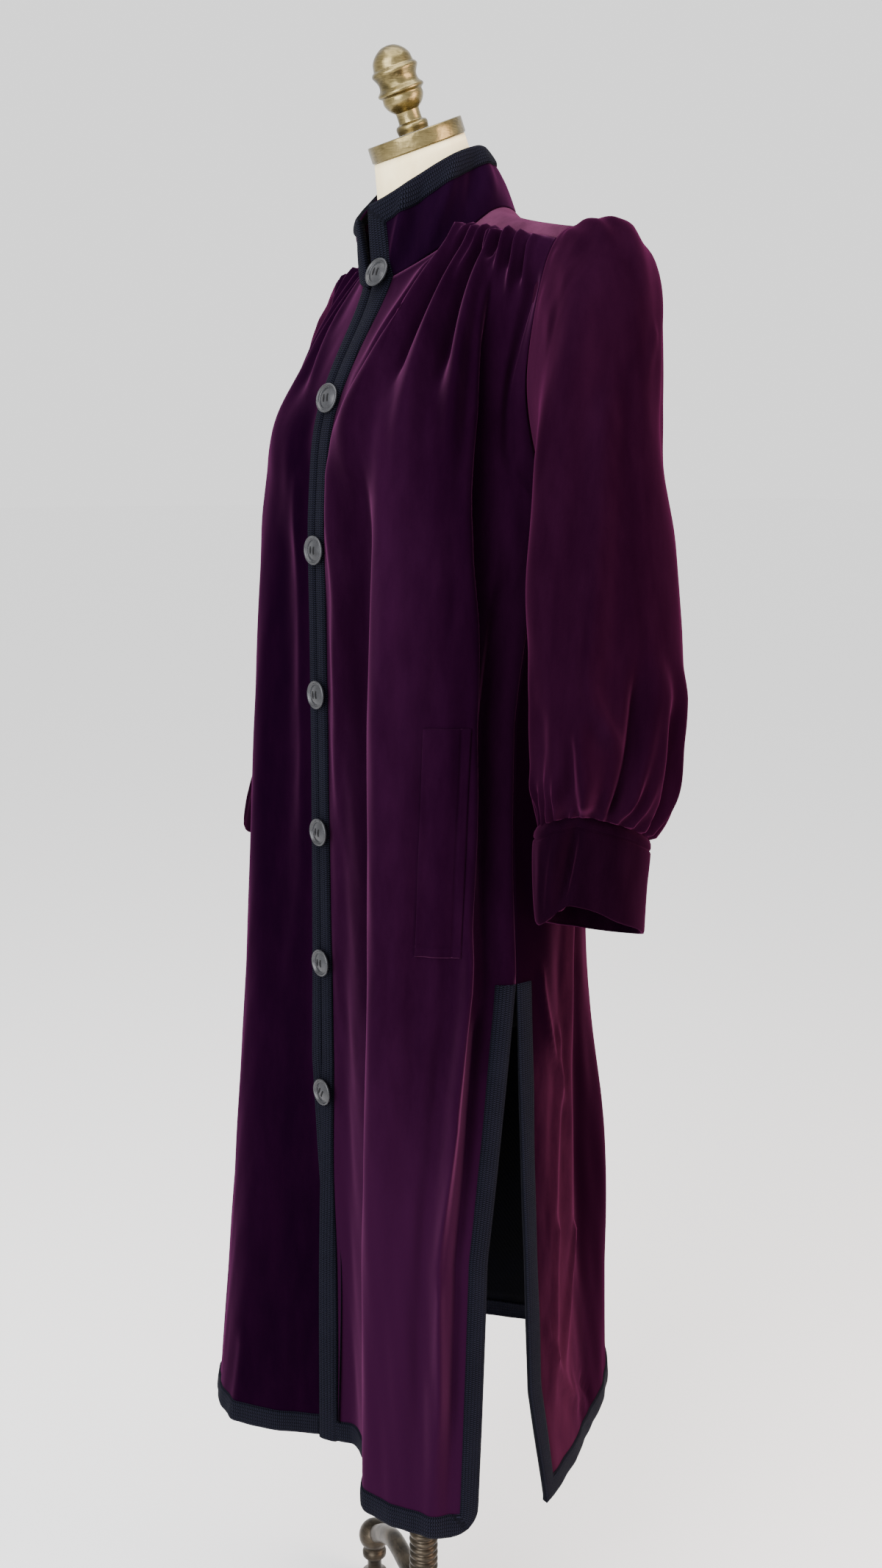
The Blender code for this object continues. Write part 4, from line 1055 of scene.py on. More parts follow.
def collar_points(bearings, shares):
    """Points and outward normals of the collar's outside, from the neckline up and its left end round."""
    bearing, share = np.meshgrid(np.asarray(bearings, float), np.asarray(shares, float))
    angle = np.radians(bearing)
    base = neckline(np.where(bearing > 180, 360 - bearing, bearing))
    base[..., 0] = NECK_HALF_WIDTH * np.sin(angle)
    base[..., 2] += 2 * SEAM
    depth = np.where(np.cos(angle) > 0, COLLAR_FRONT, COLLAR_BACK)
    top_y = COLLAR_MIDDLE - depth * np.cos(angle)
    arch = COLLAR_ARCH * np.sin(angle) ** 2
    top_z = COLLAR_HEIGHT - COLLAR_RISE * np.cos(angle) + arch - collar_sag(bearing)
    top = np.stack([COLLAR_HALF_WIDTH * np.sin(angle), top_y, top_z], -1)
    points = base + (top - base) * share[..., None]
    swell = np.sin(math.pi * share)
    crease = COLLAR_FULLNESS * swell
    for low, high, height, width in COLLAR_CREASES:
        crease += height * swell * bell(bearing, low + (high - low) * share, width)
    points += normals(points) * crease[..., None]
    tip = ease((bearing - COLLAR_TIP) / (360 - COLLAR_OPENING - COLLAR_TIP)) * share
    points[..., 2] -= COLLAR_TIP_DROP * tip
    points[..., 1] -= COLLAR_TIP_ROLL * tip * share
    return points, normals(points)


def sleeve_ring(row, turn, side):
    outer_x, outer_z, inner_x, inner_z, half_width, left_y, right_y = row
    middle_y = left_y if side > 0 else right_y
    angle = 2 * math.pi * turn
    x = (outer_x + inner_x) / 2 + (outer_x - inner_x) / 2 * np.cos(angle)
    z = (outer_z + inner_z) / 2 + (outer_z - inner_z) / 2 * np.cos(angle)
    return np.stack([x, middle_y - half_width * np.sin(angle), z], -1)


def wrapped_ridges(table, turn, station, soft_low, soft_top):
    """Folds of a tube, whose turns 0 and 1 meet."""
    return sum(ridges(table, turn + whole, station, soft_low, soft_top) for whole in (-1, 0, 1))


def cuff_lift(side, turn, edge):
    """Rise of the cuff about its ring, at its seam where edge is 0 and at its edge where it is 1."""
    rows = np.array(CUFF_LIFT)
    rows = np.concatenate([rows - (1, 0, 0), rows, rows + (1, 0, 0)])
    seam, rim = curve(rows[:, 0], rows[:, 1:], np.mod(turn, 1.0)).T
    lift = seam.T + (rim.T - seam.T) * edge
    return lift if side > 0 else RIGHT_LIFT * lift


def swell_out(points, height):
    """Moves each ring of a tube's points out from the ring's middle."""
    outward = points - points.mean(axis=1, keepdims=True)
    outward /= np.linalg.norm(outward, axis=-1, keepdims=True)
    points += outward * height[..., None]


def sleeve_points(side, turns, stations):
    """Points of a sleeve's outside: rings from the cuff to the armhole, from the top round by the front."""
    head = armhole(turns) + np.array((ARMHOLE_SEAM, 0, 0))
    rings = np.stack([head] + [sleeve_ring(row, turns, side) for row in SLEEVE_RINGS])
    points = curve(np.arange(len(rings)), rings, stations)
    turn, station = np.meshgrid(turns, stations)
    folds = wrapped_ridges(SLEEVE_FOLDS, turn, station, *SLEEVE_FOLD_ENDS)
    folds += wrapped_ridges(SLEEVE_HOLLOWS, turn, station, *SLEEVE_HOLLOW_ENDS)
    gathers = [
        (
            place,
            place + shift,
            top,
            SLEEVE_END,
            CUFF_GATHER_HEIGHT * height,
            CUFF_GATHER_SPREAD * width,
            width,
        )
        for place, shift, top, height, width in CUFF_GATHERS
    ]
    folds += wrapped_ridges(gathers, turn, station, *CUFF_GATHER_ENDS)
    around = 2 * math.pi * turn
    wave = np.sin(2 * around + 0.9 * station + side) * np.sin(1.3 * station + 0.7)
    wave += 0.6 * np.sin(5 * around - 1.1 * station)
    wave *= ease(station / SLEEVE_SLACK_EASE) * ease((SLEEVE_END - station) / SLEEVE_SLACK_EASE)
    folds += SLEEVE_SLACK * wave
    swell_out(points, folds)
    lifted = ease((stations - SLEEVE_LIFT_START) / (SLEEVE_END - SLEEVE_LIFT_START))
    points[..., 2] += cuff_lift(side, turns, 0) * lifted[:, None]
    if side < 0:
        backward = ease((stations - RIGHT_BACKWARD_START) / (SLEEVE_END - RIGHT_BACKWARD_START))
        points[..., 1] += RIGHT_BACKWARD * backward[:, None]
    points[..., 0] *= side
    return points[::-1]


def cuff_points(side, turns, shares):
    """Points of a cuff's outside, rings from its edge up."""
    left_y, right_y = SLEEVE_RINGS[-1][-2:]
    rows = np.array(CUFF_RINGS)[::-1]
    rings = np.stack([
        sleeve_ring((outer_x, z, inner_x, z, half_width, left_y, right_y), turns, side)
        for z, outer_x, inner_x, half_width in rows
    ])
    points = curve((rows[:, 0] - rows[0, 0]) / (rows[-1, 0] - rows[0, 0]), rings, shares)
    turn, share = np.meshgrid(turns, shares)
    folds = np.full(turn.shape, DOUBLED_VELVET)
    fullness = np.sin(math.pi * share) ** CUFF_FOLD_FULLNESS
    for top, edge, height, width in CUFF_FOLDS:
        middle = edge + (top - edge) * share
        for whole in (-1, 0, 1):
            folds += height * fullness * bell(turn + whole, middle, width)
    folds -= CUFF_STITCHING_DEPTH * bell(share, *CUFF_STITCHING)
    folds -= CUFF_TOP_ROLL * ease((share - CUFF_TOP_START) / (1 - CUFF_TOP_START))
    folds -= CUFF_EDGE_ROLL * ease((CUFF_EDGE_END - share) / CUFF_EDGE_END)
    swell_out(points, folds)
    points[..., 2] += cuff_lift(side, turns, 1 - share)
    if side < 0:
        points[..., 1] += RIGHT_BACKWARD - RIGHT_LEAN * (1 - share)
    points[..., 0] *= side
    return points


class Value:
    """A shader socket that takes part in Python expressions; each operator adds a Math node."""

    def __init__(self, finish, socket):
        self.finish = finish
        self.socket = socket

    def math(self, operation, *others):
        operands = dict(enumerate((self, *others)))
        return self.finish.node("Math", {"operation": operation}, operands)

    def __add__(self, other):
        return self.math("ADD", other)

    __radd__ = __add__

    def __mul__(self, other):
        return self.math("MULTIPLY", other)

    __rmul__ = __mul__

    def __sub__(self, other):
        return self.math("SUBTRACT", other)

    def __rsub__(self, other):
        return self.finish.node("Math", {"operation": "SUBTRACT"}, {0: other, 1: self})

    def __pow__(self, other):
        return self.math("POWER", other)

    def between(self, low, high):
        """0 at low and 1 at high, smooth and held beyond them."""
        sockets = {"Value": self, "From Min": low, "From Max": high}
        return self.finish.node("MapRange", {"interpolation_type": "SMOOTHSTEP"}, sockets)


class Finish:
    """A material made of nodes. Values that don't change over the surface are set on the shader itself."""

    def __init__(self, name, constants):
        self.material = bpy.data.materials.new(name)
        self.material.use_nodes = True
        self.tree = self.material.node_tree
        self.shader = self.tree.nodes["Principled BSDF"]
        for socket, value in constants.items():
            self.shader.inputs[socket].default_value = value

    def node(self, kind, settings=None, sockets=None, out=0):
        made = self.tree.nodes.new("ShaderNode" + kind)
        for name, value in (settings or {}).items():
            setattr(made, name, value)
        for socket, value in (sockets or {}).items():
            self.feed(made.inputs[socket], value)
        return Value(self, made.outputs[out])

    def feed(self, socket, value):
        if isinstance(value, Value):
            self.tree.links.new(value.socket, socket)
        else:
            socket.default_value = value

    def set(self, socket, value):
        self.feed(self.shader.inputs[socket], value)

    def place(self, scale=(1, 1, 1), uv=False):
        """Object coordinates, or the piece's own UV map in metres, scaled."""
        source = self.node("TexCoord", out="UV" if uv else "Object")
        return self.node("Mapping", sockets={"Vector": source, "Scale": scale})

    def noise(self, scale, detail=2.0, roughness=0.5, stretch=(1, 1, 1), distortion=0.0):
        sockets = {
            "Vector": self.place(stretch),
            "Scale": scale,
            "Detail": detail,
            "Roughness": roughness,
            "Distortion": distortion,
        }
        return self.node("TexNoise", sockets=sockets)

    def mix(self, first, second, share):
        return self.node("Mix", {"data_type": "RGBA"}, {0: share, 6: first, 7: second}, out=2)

    def tones(self, dark, light, tone):
        """The colour that goes from dark to light as a tone goes from 0 to 1."""
        return self.mix((*dark, 1), (*light, 1), tone)

    def bump(self, height, distance, strength):
        sockets = {"Height": height, "Distance": distance, "Strength": strength}
        self.set("Normal", self.node("Bump", sockets=sockets))

    def apart(self, vector):
        """The X, Y and Z of a vector."""
        made = self.tree.nodes.new("ShaderNodeSeparateXYZ")
        self.feed(made.inputs[0], vector)
        return [Value(self, socket) for socket in made.outputs]


# Where painted light and shade lighten or darken the velvet: ranges of height, and of distance behind the
# origin
HEM_LIGHT_HEIGHTS = (0.42, 0.95)
SHADE_DEPTHS = (0.03, 0.17)
# Painted shadow under the sleeves above the slits; then painted shade low at the rear, on the pile and on
# the painted sheen
SLEEVE_SHADOW_HEIGHTS = (0.82, 0.98)
SLEEVE_SHADOW_DEPTHS = (0.000, 0.052)
REAR_HEIGHTS = (0.60, 0.95)
REAR_DEPTHS = (0.055, 0.105)
REAR_SHADE = 0.25
REAR_SHEEN_SHADE = 0.7
# How sharply the painted sheen rises where the surface turns edge-on, then the pile's range of tones
PAINTED_SHEEN_POWER = 3.4
PILE_TONES = (0.37, 0.84)

# Braid: width of a rib, length of a stitch and slant of its rows
RIB_WIDTH = 0.0038
STITCH_LENGTH = 0.0021
STITCH_SLANT = 1.1


def velvet_finish(name, dark, light, painted_sheen, painted_hem_light=0.0, shade=0.0, painted_shadow=0.0):
    """Plum cotton velvet: a dark pile, with a painted sheen that mixes mauve into its colour where the
    surface is seen along its edge. Each panel's depth of colour is set to how lit it looks, a painted light
    and shade; the keyword arguments, in order, paint light towards the hem, paint shade behind, and paint
    the shadow under the sleeves above the slits and shade low at the rear."""
    finish = Finish(name, {
        "Sheen Weight": 0.04,
        "Sheen Roughness": 0.30,
        "Sheen Tint": (0.80, 0.08, 0.50, 1),
        "Specular IOR Level": 0.0,
    })
    patches = finish.noise(5, 2, 0.5, (1, 1, 0.5))
    nap = finish.noise(60, 3, 0.6, (1, 1, 0.3))
    pile = finish.noise(1700, 2, 0.6)
    streaks = finish.noise(13, 2, 0.5, (1, 1, 0.12))
    tone = patches * 0.25 + streaks * 0.50 + nap * 0.20 + pile * 0.15
    # Painted sheen: mauve mixed into the base colour where the surface is seen edge-on
    edge = finish.node("LayerWeight", sockets={"Blend": 0.5}, out="Facing") ** PAINTED_SHEEN_POWER
    if painted_hem_light or shade or painted_shadow:
        _, behind, height = finish.apart(finish.place())
    # Painted light: the pile lighter towards the hem
    if painted_hem_light:
        tone = tone + painted_hem_light * (1 - height.between(*HEM_LIGHT_HEIGHTS))
    # Painted shade: darker towards the back, where the cloth turns away from the lights
    if shade:
        tone = tone - shade * behind.between(*SHADE_DEPTHS)
    # Painted shadow under the sleeves above the slits, and painted shade low at the rear that also dims the
    # painted sheen
    if painted_shadow:
        tone = tone - painted_shadow * (1 - behind.between(*SLEEVE_SHADOW_DEPTHS)) * height.between(*SLEEVE_SHADOW_HEIGHTS)
        rear = (1 - height.between(*REAR_HEIGHTS)) * behind.between(*REAR_DEPTHS)
        tone = tone - painted_shadow * REAR_SHADE * rear
        edge = edge * (1 - painted_shadow * REAR_SHEEN_SHADE * rear)
    facing = finish.tones(dark, light, tone.between(*PILE_TONES))
    # The pile's colour with the painted sheen mixed in towards edge-on views
    finish.set("Base Color", finish.mix(facing, (*painted_sheen, 1), edge * (0.6 + 0.4 * nap)))
    finish.set("Roughness", 0.80 + 0.14 * nap)
    finish.bump(pile * 0.5 + nap * 0.9, 0.0005, 0.35)
    return finish.material


def braid_finish():
    """Black knitted braid: rows of slanting stitches along its length, by the piece's own UV in metres."""
    finish = Finish("black_braid", {
        "Sheen Weight": 0.01,
        "Sheen Roughness": 0.45,
        "Sheen Tint": (0.60, 0.60, 0.90, 1),
        "Specular IOR Level": 0.02,
    })
    across, along, _ = finish.apart(finish.place(uv=True))
    rib = (across * (1 / RIB_WIDTH)).math("PINGPONG", 0.5)
    row = ((along * (1 / STITCH_LENGTH)) + rib * STITCH_SLANT).math("FRACT")
    stitch = 1 - (row - 0.5).math("ABSOLUTE") * 2
    groove = rib.between(0.02, 0.20)
    knit = stitch.between(0.05, 0.75) * (0.35 + 0.65 * groove)
    fuzz = finish.noise(900, 2, 0.6)
    wear = finish.noise(26, 2, 0.5)
    tone = (knit * 0.7 + fuzz * 0.2 + wear * 0.25).between(0.10, 1.0)
    finish.set("Base Color", finish.tones((0.0002, 0.0002, 0.0005), (0.0070, 0.0072, 0.0125), tone))
    finish.set("Roughness", 0.72 + 0.2 * fuzz)
    finish.bump(knit * 1.0 + fuzz * 0.25, 0.0009, 0.8)
    return finish.material


def lining_finish():
    finish = Finish("navy_lining", {"Specular IOR Level": 0.02})
    x, y, z = finish.apart(finish.place())
    twill = ((x + y + z) * 900).math("SINE")
    cloud = finish.noise(12, 3, 0.55)
    tone = cloud.between(0.3, 0.7)
    finish.set("Base Color", finish.tones((0.0001, 0.0001, 0.0006), (0.0005, 0.0006, 0.0018), tone))
    finish.set("Roughness", 0.5 + 0.2 * cloud)
    finish.bump(twill * 0.3 + cloud, 0.0005, 0.4)
    return finish.material


def horn_finish():
    finish = Finish("grey_horn", {"Specular IOR Level": 0.35})
    grain = finish.noise(130, 4, 0.6, (1, 1, 0.35), 0.6)
    fine = finish.noise(900, 2, 0.5)
    tone = (grain * 0.75 + fine * 0.25).between(0.25, 0.75)
    finish.set("Base Color", finish.tones((0.0085, 0.0088, 0.0100), (0.0210, 0.0216, 0.0245), tone))
    finish.set("Roughness", 0.22 + 0.20 * fine)
    finish.bump(fine * 0.4 + grain * 0.3, 0.0002, 0.5)
    return finish.material


def thread_finish():
    finish = Finish("black_thread", {"Specular IOR Level": 0.2})
    twist = finish.noise(1500, 2, 0.6)
    finish.set("Base Color", finish.tones((0.001, 0.001, 0.001), (0.005, 0.005, 0.006), twist))
    finish.set("Roughness", 0.7 + 0.2 * twist)
    finish.bump(twist, 0.0003, 0.6)
    return finish.material


def linen_finish():
    finish = Finish("cream_linen", {"Specular IOR Level": 0.2, "Sheen Weight": 0.1})
    x, y, z = finish.apart(finish.place())
    warp = ((x - y) * 5200).math("SINE")
    weft = (z * 5200).math("SINE")
    slub = finish.noise(160, 3, 0.6, (1, 1, 0.3))
    stain = finish.noise(14, 3, 0.5)
    weave = warp * weft * 0.25 + 0.5
    tone = (weave * 0.35 + slub * 0.35 + stain * 0.4).between(0.25, 0.75)
    finish.set("Base Color", finish.tones((0.740, 0.590, 0.310), (0.920, 0.790, 0.480), tone))
    finish.set("Roughness", 0.80 + 0.12 * slub)
    finish.bump(weave * 0.6 + slub * 0.6, 0.0004, 0.5)
    return finish.material


def jersey_finish():
    """Jersey over the form's body, which shows only through the slits and from below. Its own colour is
    never seen; it is made near black, a painted shade, so that the slits look as dark as the shade inside
    the coat.
    """
    finish = Finish("jersey_dark_as_shade", {"Specular IOR Level": 0.1, "Sheen Weight": 0.02})
    x, y, z = finish.apart(finish.place())
    knit = ((x + y) * 3800).math("SINE") * (z * 3000).math("SINE") * 0.25 + 0.5
    cloud = finish.noise(18, 3, 0.5)
    tone = (knit * 0.5 + cloud * 0.5).between(0.25, 0.75)
    # Near-black colour: a painted shade for the inside of the coat
    finish.set("Base Color", finish.tones((0.0010, 0.0010, 0.0014), (0.0045, 0.0046, 0.0056), tone))
    finish.set("Roughness", 0.85 + 0.1 * cloud)
    finish.bump(knit, 0.0004, 0.5)
    return finish.material


def metal_finish(name, dark, light, rough, wave=0.0):
    """Worn metal: tarnish in patches, fine turning scratches, and waves that catch the light."""
    finish = Finish(name, {"Specular IOR Level": 0.5})
    patches = finish.noise(38, 4, 0.6)
    scratches = finish.noise(420, 2, 0.5, (0.25, 0.25, 3.0))
    tone = (patches * 0.7 + scratches * 0.3).between(0.32, 0.66)
    finish.set("Base Color", finish.tones(dark, light, tone))
    finish.set("Metallic", 0.85 + 0.15 * patches)
    finish.set("Roughness", rough + 0.25 * (1 - patches) + 0.08 * scratches)
    relief = patches * 0.5 + scratches * 0.4
    if wave:
        relief = relief + finish.noise(95, 2, 0.5) * wave
    finish.bump(relief, 0.0004, 0.35)
    return finish.material


# The panels are lit and shaded copies of one velvet, a painted light and shade: the yoke lighter where
# light falls from above and darker behind, the right front darker, the back warmer where the warm side
# light falls
VELVETS = {
    # panel: dark pile, light pile, painted sheen at its edge, painted light and shade over the panel
    "left_front": (
        (0.0034, 0.0003, 0.0032),
        (0.0125, 0.0019, 0.0107),
        (0.076, 0.0210, 0.056),
        {"painted_hem_light": 0.50},
    ),
    "right_front": ((0.0023, 0.0002, 0.0029), (0.0078, 0.0009, 0.0070), (0.066, 0.0170, 0.050), {}),
    "back": (
        (0.0030, 0.0003, 0.0025),
        (0.0300, 0.0052, 0.0150),
        (0.066, 0.0140, 0.036),
        {"shade": 0.20, "painted_shadow": 1.0},
    ),
    "yoke": ((0.0090, 0.0022, 0.0058), (0.0860, 0.0245, 0.0540), (0.060, 0.0200, 0.041), {"shade": 0.40}),
    "sleeve": ((0.0038, 0.0004, 0.0030), (0.0122, 0.0018, 0.0087), (0.052, 0.0095, 0.031), {}),
    "cuff": ((0.0012, 0.0001, 0.0013), (0.0072, 0.0012, 0.0055), (0.045, 0.0090, 0.028), {}),
    "collar": ((0.0014, 0.0002, 0.0022), (0.0076, 0.0013, 0.0086), (0.058, 0.0140, 0.046), {}),
}
VELVET_FINISH = {
    panel: velvet_finish("velvet_" + panel, dark, light, painted_sheen, **changes)
    for panel, (dark, light, painted_sheen, changes) in VELVETS.items()
}
BRAID_FINISH = braid_finish()
LINING_FINISH = lining_finish()
HORN_FINISH = horn_finish()
THREAD_FINISH = thread_finish()
LINEN_FINISH = linen_finish()
JERSEY_FINISH = jersey_finish()
BRASS_FINISH = metal_finish("aged_brass", (0.055, 0.042, 0.015), (0.215, 0.168, 0.074), 0.13, wave=4.0)
BRONZE_FINISH = metal_finish("dark_bronze", (0.010, 0.008, 0.006), (0.055, 0.044, 0.031), 0.26)


def add_piece(name, mesh, finish, replaces):
    """A finished piece that rides with the part and stands for these solids."""
    built = bpy.data.meshes.new(name)
    mesh.to_mesh(built)
    mesh.free()
    built.transform(Matrix.Translation(POST))
    built.shade_smooth()
    built.materials.append(finish)
    made = bpy.data.objects.new(name, built)
    bpy.context.scene.collection.objects.link(made)
    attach(made, "root")
    for node in replaces:
        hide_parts(node)
    return made


def sheet_mesh(points, keep=None, flip=False, uv=None):
    """An open sheet on a grid of points. keep masks its cells, flip turns it over, uv gives each point's
    place on its own pattern in metres. Equal points join."""
    rows, columns = points.shape[:2]
    mesh = bmesh.new()
    layer = mesh.loops.layers.uv.new("UVMap")
    bmesh.ops.create_grid(mesh, x_segments=columns - 1, y_segments=rows - 1, size=1)
    half = np.array(((columns - 1) / 2, (rows - 1) / 2))
    cells = {}
    for vertex in mesh.verts:
        column, row = np.rint((np.array(vertex.co[:2]) + 1) * half).astype(int)
        cells[vertex] = (row, column)
        vertex.co = points[row, column]
    dropped = []
    for face in mesh.faces:
        corners = [cells[vertex] for vertex in face.verts]
        if keep is not None and not keep[min(corners)[0], min(corner[1] for corner in corners)]:
            dropped.append(face)
            continue
        for loop in face.loops:
            cell = cells[loop.vert]
            loop[layer].uv = uv[cell] if uv is not None else (0, 0)
    bmesh.ops.delete(mesh, geom=dropped, context="FACES")
    bmesh.ops.remove_doubles(mesh, verts=mesh.verts, dist=JOIN)
    if flip:
        bmesh.ops.reverse_faces(mesh, faces=mesh.faces)
    return mesh


def arc_lengths(points):
    """How far along its row and its column each point lies, in metres."""
    across = np.linalg.norm(np.diff(points, axis=1, prepend=points[:, :1]), axis=-1).cumsum(1)
    along = np.linalg.norm(np.diff(points, axis=0, prepend=points[:1]), axis=-1).cumsum(0)
    return np.stack([across, along], -1)


def cloth(name, points, finish, thickness, node, keep=None, flip=False, uv=None):
    """A sheet with its thickness inwards, which stands for one solid."""
    if uv is None:
        uv = arc_lengths(points)
    made = add_piece(name, sheet_mesh(points, keep, flip, uv), finish, [node])
    wall = made.modifiers.new("Wall", "SOLIDIFY")
    wall.thickness = thickness
    wall.offset = -1
    return made


def add_velvet(name, node, panel, points, thickness=VELVET, keep=None, flip=False):
    return cloth(name, points, VELVET_FINISH[panel], thickness, node, keep, flip)


def add_braid(name, node, points, thickness, keep=None, flip=False, uv=None):
    return cloth(name, points, BRAID_FINISH, thickness, node, keep, flip, uv)


def add_lining(name, node, outside, up, flip=False):
    """A panel of lining, behind these points of a front or the back."""
    points = outside - up * (VELVET + LINING_GAP)
    return cloth(name, points, LINING_FINISH, LINING, node, flip=flip)


def steps(*stretches):
    """A rising row of places: pairs of an end and the number of steps that lead to it."""
    places = [np.array([stretches[0]], float)]
    for end, count in stretches[1:]:
        places.append(np.linspace(places[-1][-1], end, count + 1)[1:])
    return np.concatenate(places)


def cell_marks(points, mark):
    """One mark for each cell of a grid of points."""
    return np.full((points.shape[0] - 1, points.shape[1] - 1), mark)


def dome(share, low=BRAID_EDGE):
    """The rounded section of a braid: its height across its width, and how high its edges are."""
    return low + (1 - low) * np.sqrt(np.clip(1 - np.abs(2 * share - 1) ** 3, 0, 1))


def cornered_braid(points, normal, from_edge, from_end, end_share=1.0, height=BRAID):
    """The outside of a braid that runs along an edge and turns a corner, and its own pattern in metres.
    from_edge and from_end are in widths of the braid, which is narrowed to end_share along the end."""
    nearest = np.clip(np.minimum(from_edge, from_end / end_share), 0, 1)
    lengths = arc_lengths(points)
    run = np.where(from_end < from_edge, lengths[..., 1], lengths[..., 0])
    raised = points + normal * (SEAM + height * dome(nearest))[..., None]
    return raised, np.stack([nearest * BRAID_WIDTH, run], -1)


COAT_LEVELS = steps(HEM, (BRAID_TOP, HEM_ROWS), (SLIT_TOP, SKIRT_ROWS), (UNDERARM, 46), (YOKE_LEVEL, 40))
LINING_LEVELS = steps(BRAID_TOP, (SLIT_TOP, LINING_ROWS))
FRONT_COLUMNS = steps(
    # first column, then pairs of a column and the steps that lead to it
    0,
    (1, STRIP_COLUMNS),
    (NECK_COLUMN, 26),
    (13, 46),
    (19.6, 80),
    (SLIT_COLUMN, 8),
    (SIDE_COLUMN, SLIT_COLUMNS),
)
BACK_COLUMNS = steps(0, (1, SLIT_COLUMNS), (BACK_END - 1, 150), (BACK_END, SLIT_COLUMNS))


def add_welt(side, name, panel):
    """A pocket welt: rolled edges and two lines of stitching."""
    columns = steps(WELT_COLUMNS[0], (WELT_COLUMNS[1], 36))
    levels = steps(WELT_BOTTOM, (WELT_TOP, 110))
    points, normal = front_points(side, *np.meshgrid(columns, levels))
    across = ((columns - columns[0]) / (columns[-1] - columns[0]))[None, :]
    upward = ((levels - levels[0]) / (levels[-1] - levels[0]))[:, None]
    from_side = np.minimum(across, 1 - across) / WELT_ROLL[0]
    from_end = np.minimum(upward, 1 - upward) / WELT_ROLL[1]
    stitching = bell(across, *WELT_SIDE_STITCHING) + bell(upward, *WELT_LOW_STITCHING)
    crown = WELT_EDGE + WELT_CROWN * ease(np.minimum(from_end, from_side))
    out = SEAM + WELT * crown - WELT_STITCHING_DEPTH * np.clip(stitching, 0, 1)
    points = points + normal * out[..., None]
    return add_velvet("pocket_welt_" + name, "welt_" + name, panel, points, WELT_WALL, flip=side < 0)


def add_front(side, name):
    """A front with its braid, its pocket welt and its lining."""
    flip = side < 0
    panel = name + "_front"
    column, level = np.meshgrid(FRONT_COLUMNS, COAT_LEVELS)
    points, normal = front_points(side, column, level)
    inside = cell_marks(points, True)
    inside[0] = False
    inside[:, 0] = False
    inside[:SLIT_ROWS, -1] = False
    front = add_velvet("velvet_front_" + name, "front_" + name, panel, points, keep=inside, flip=flip)

    share, height = np.meshgrid(steps(0, (1, STRIP_STEPS)), COAT_LEVELS)
    wide = share * soft_fade(STRIP_SPREAD, height) if side > 0 else share
    strip, up = front_points(side, wide, height)
    strip = strip + up * (SEAM + ROLLED_BRAID * dome(share, ROLLED_EDGE))[..., None]
    edge_braid = add_braid("edge_braid_" + name, "braid_front_" + name, strip, FOLDED_STRIP, flip=flip)

    from_hem = (level - HEM) / BRAID_WIDTH
    raised, uv = cornered_braid(points, normal, from_hem, SIDE_COLUMN - column, SLIT_BRAID_SHARE)
    keep = cell_marks(points, False)
    keep[:HEM_ROWS, STRIP_COLUMNS:] = True
    keep[:SLIT_ROWS, -SLIT_BRAID_COLUMNS:] = True
    hem_braid = add_braid("hem_braid_" + name, "braid_hem_" + name, raised, FOLDED_BRAID, keep, flip, uv)

    welt = add_welt(side, name, panel)
    start = LINING_START if side > 0 else UNDERLAP_COLUMN
    columns = steps(start, (SLIT_COLUMN + LINING_PAST_SLIT, 70))
    outside, up = front_points(side, *np.meshgrid(columns, LINING_LEVELS))
    lining = add_lining("lining_" + name, "lining_front_" + name, outside, up, flip)
    return front, [edge_braid, hem_braid, welt, lining]


def add_back():
    """The back with its braid and its lining."""
    column, level = np.meshgrid(BACK_COLUMNS, COAT_LEVELS)
    points, normal = back_points(column, level)
    inside = cell_marks(points, True)
    inside[0] = False
    inside[:SLIT_ROWS, (0, -1)] = False
    back = add_velvet("velvet_back", "back", "back", points, keep=inside)

    from_hem = (level - HEM) / BRAID_WIDTH
    from_slit = np.minimum(column, BACK_END - column)
    raised, uv = cornered_braid(points, normal, from_hem, from_slit, SLIT_BRAID_SHARE)
    keep = cell_marks(points, False)
    keep[:HEM_ROWS] = True
    keep[:SLIT_ROWS, :SLIT_BRAID_COLUMNS] = True
    keep[:SLIT_ROWS, -SLIT_BRAID_COLUMNS:] = True
    braid = add_braid("hem_braid_back", "braid_back", raised, FOLDED_BRAID, keep, uv=uv)

    columns = steps(BACK_LINING_START, (BACK_END - BACK_LINING_START, 110))
    outside, up = back_points(*np.meshgrid(columns, LINING_LEVELS))
    lining = add_lining("lining_of_back", "lining_back", outside, up)
    return back, [braid, lining]


def add_collar():
    """The stand collar with braid up its ends and along its top."""
    bearings = steps(
        COLLAR_OPENING,
        (COLLAR_STRIP, COLLAR_END_COLUMNS),
        (360 - COLLAR_STRIP, 130),
        (360 - COLLAR_OPENING, COLLAR_END_COLUMNS),
    )
    shares = steps(0, (0.06, 2), (COLLAR_BRAID_SHARE, 14), (1, COLLAR_BRAID_ROWS))
    points, normal = collar_points(bearings, shares)
    inside = cell_marks(points, True)
    inside[-1] = False
    inside[:, (0, -1)] = False
    collar = add_velvet("velvet_collar", "collar", "collar", points, DOUBLED_VELVET, inside)

    bearing, share = np.meshgrid(bearings, shares)
    from_top = (1 - share) / (1 - COLLAR_BRAID_SHARE)
    from_end = (np.minimum(bearing, 360 - bearing) - COLLAR_OPENING) / (COLLAR_STRIP - COLLAR_OPENING)
    raised, uv = cornered_braid(points, normal, from_top, from_end, height=COLLAR_BRAID_RISE)
    keep = cell_marks(points, False)
    keep[-COLLAR_BRAID_ROWS:] = True
    keep[:, :COLLAR_END_COLUMNS] = True
    keep[:, -COLLAR_END_COLUMNS:] = True
    braid = add_braid("collar_braid", "braid_collar", raised, COLLAR_BRAID, keep, uv=uv)
    return collar, braid


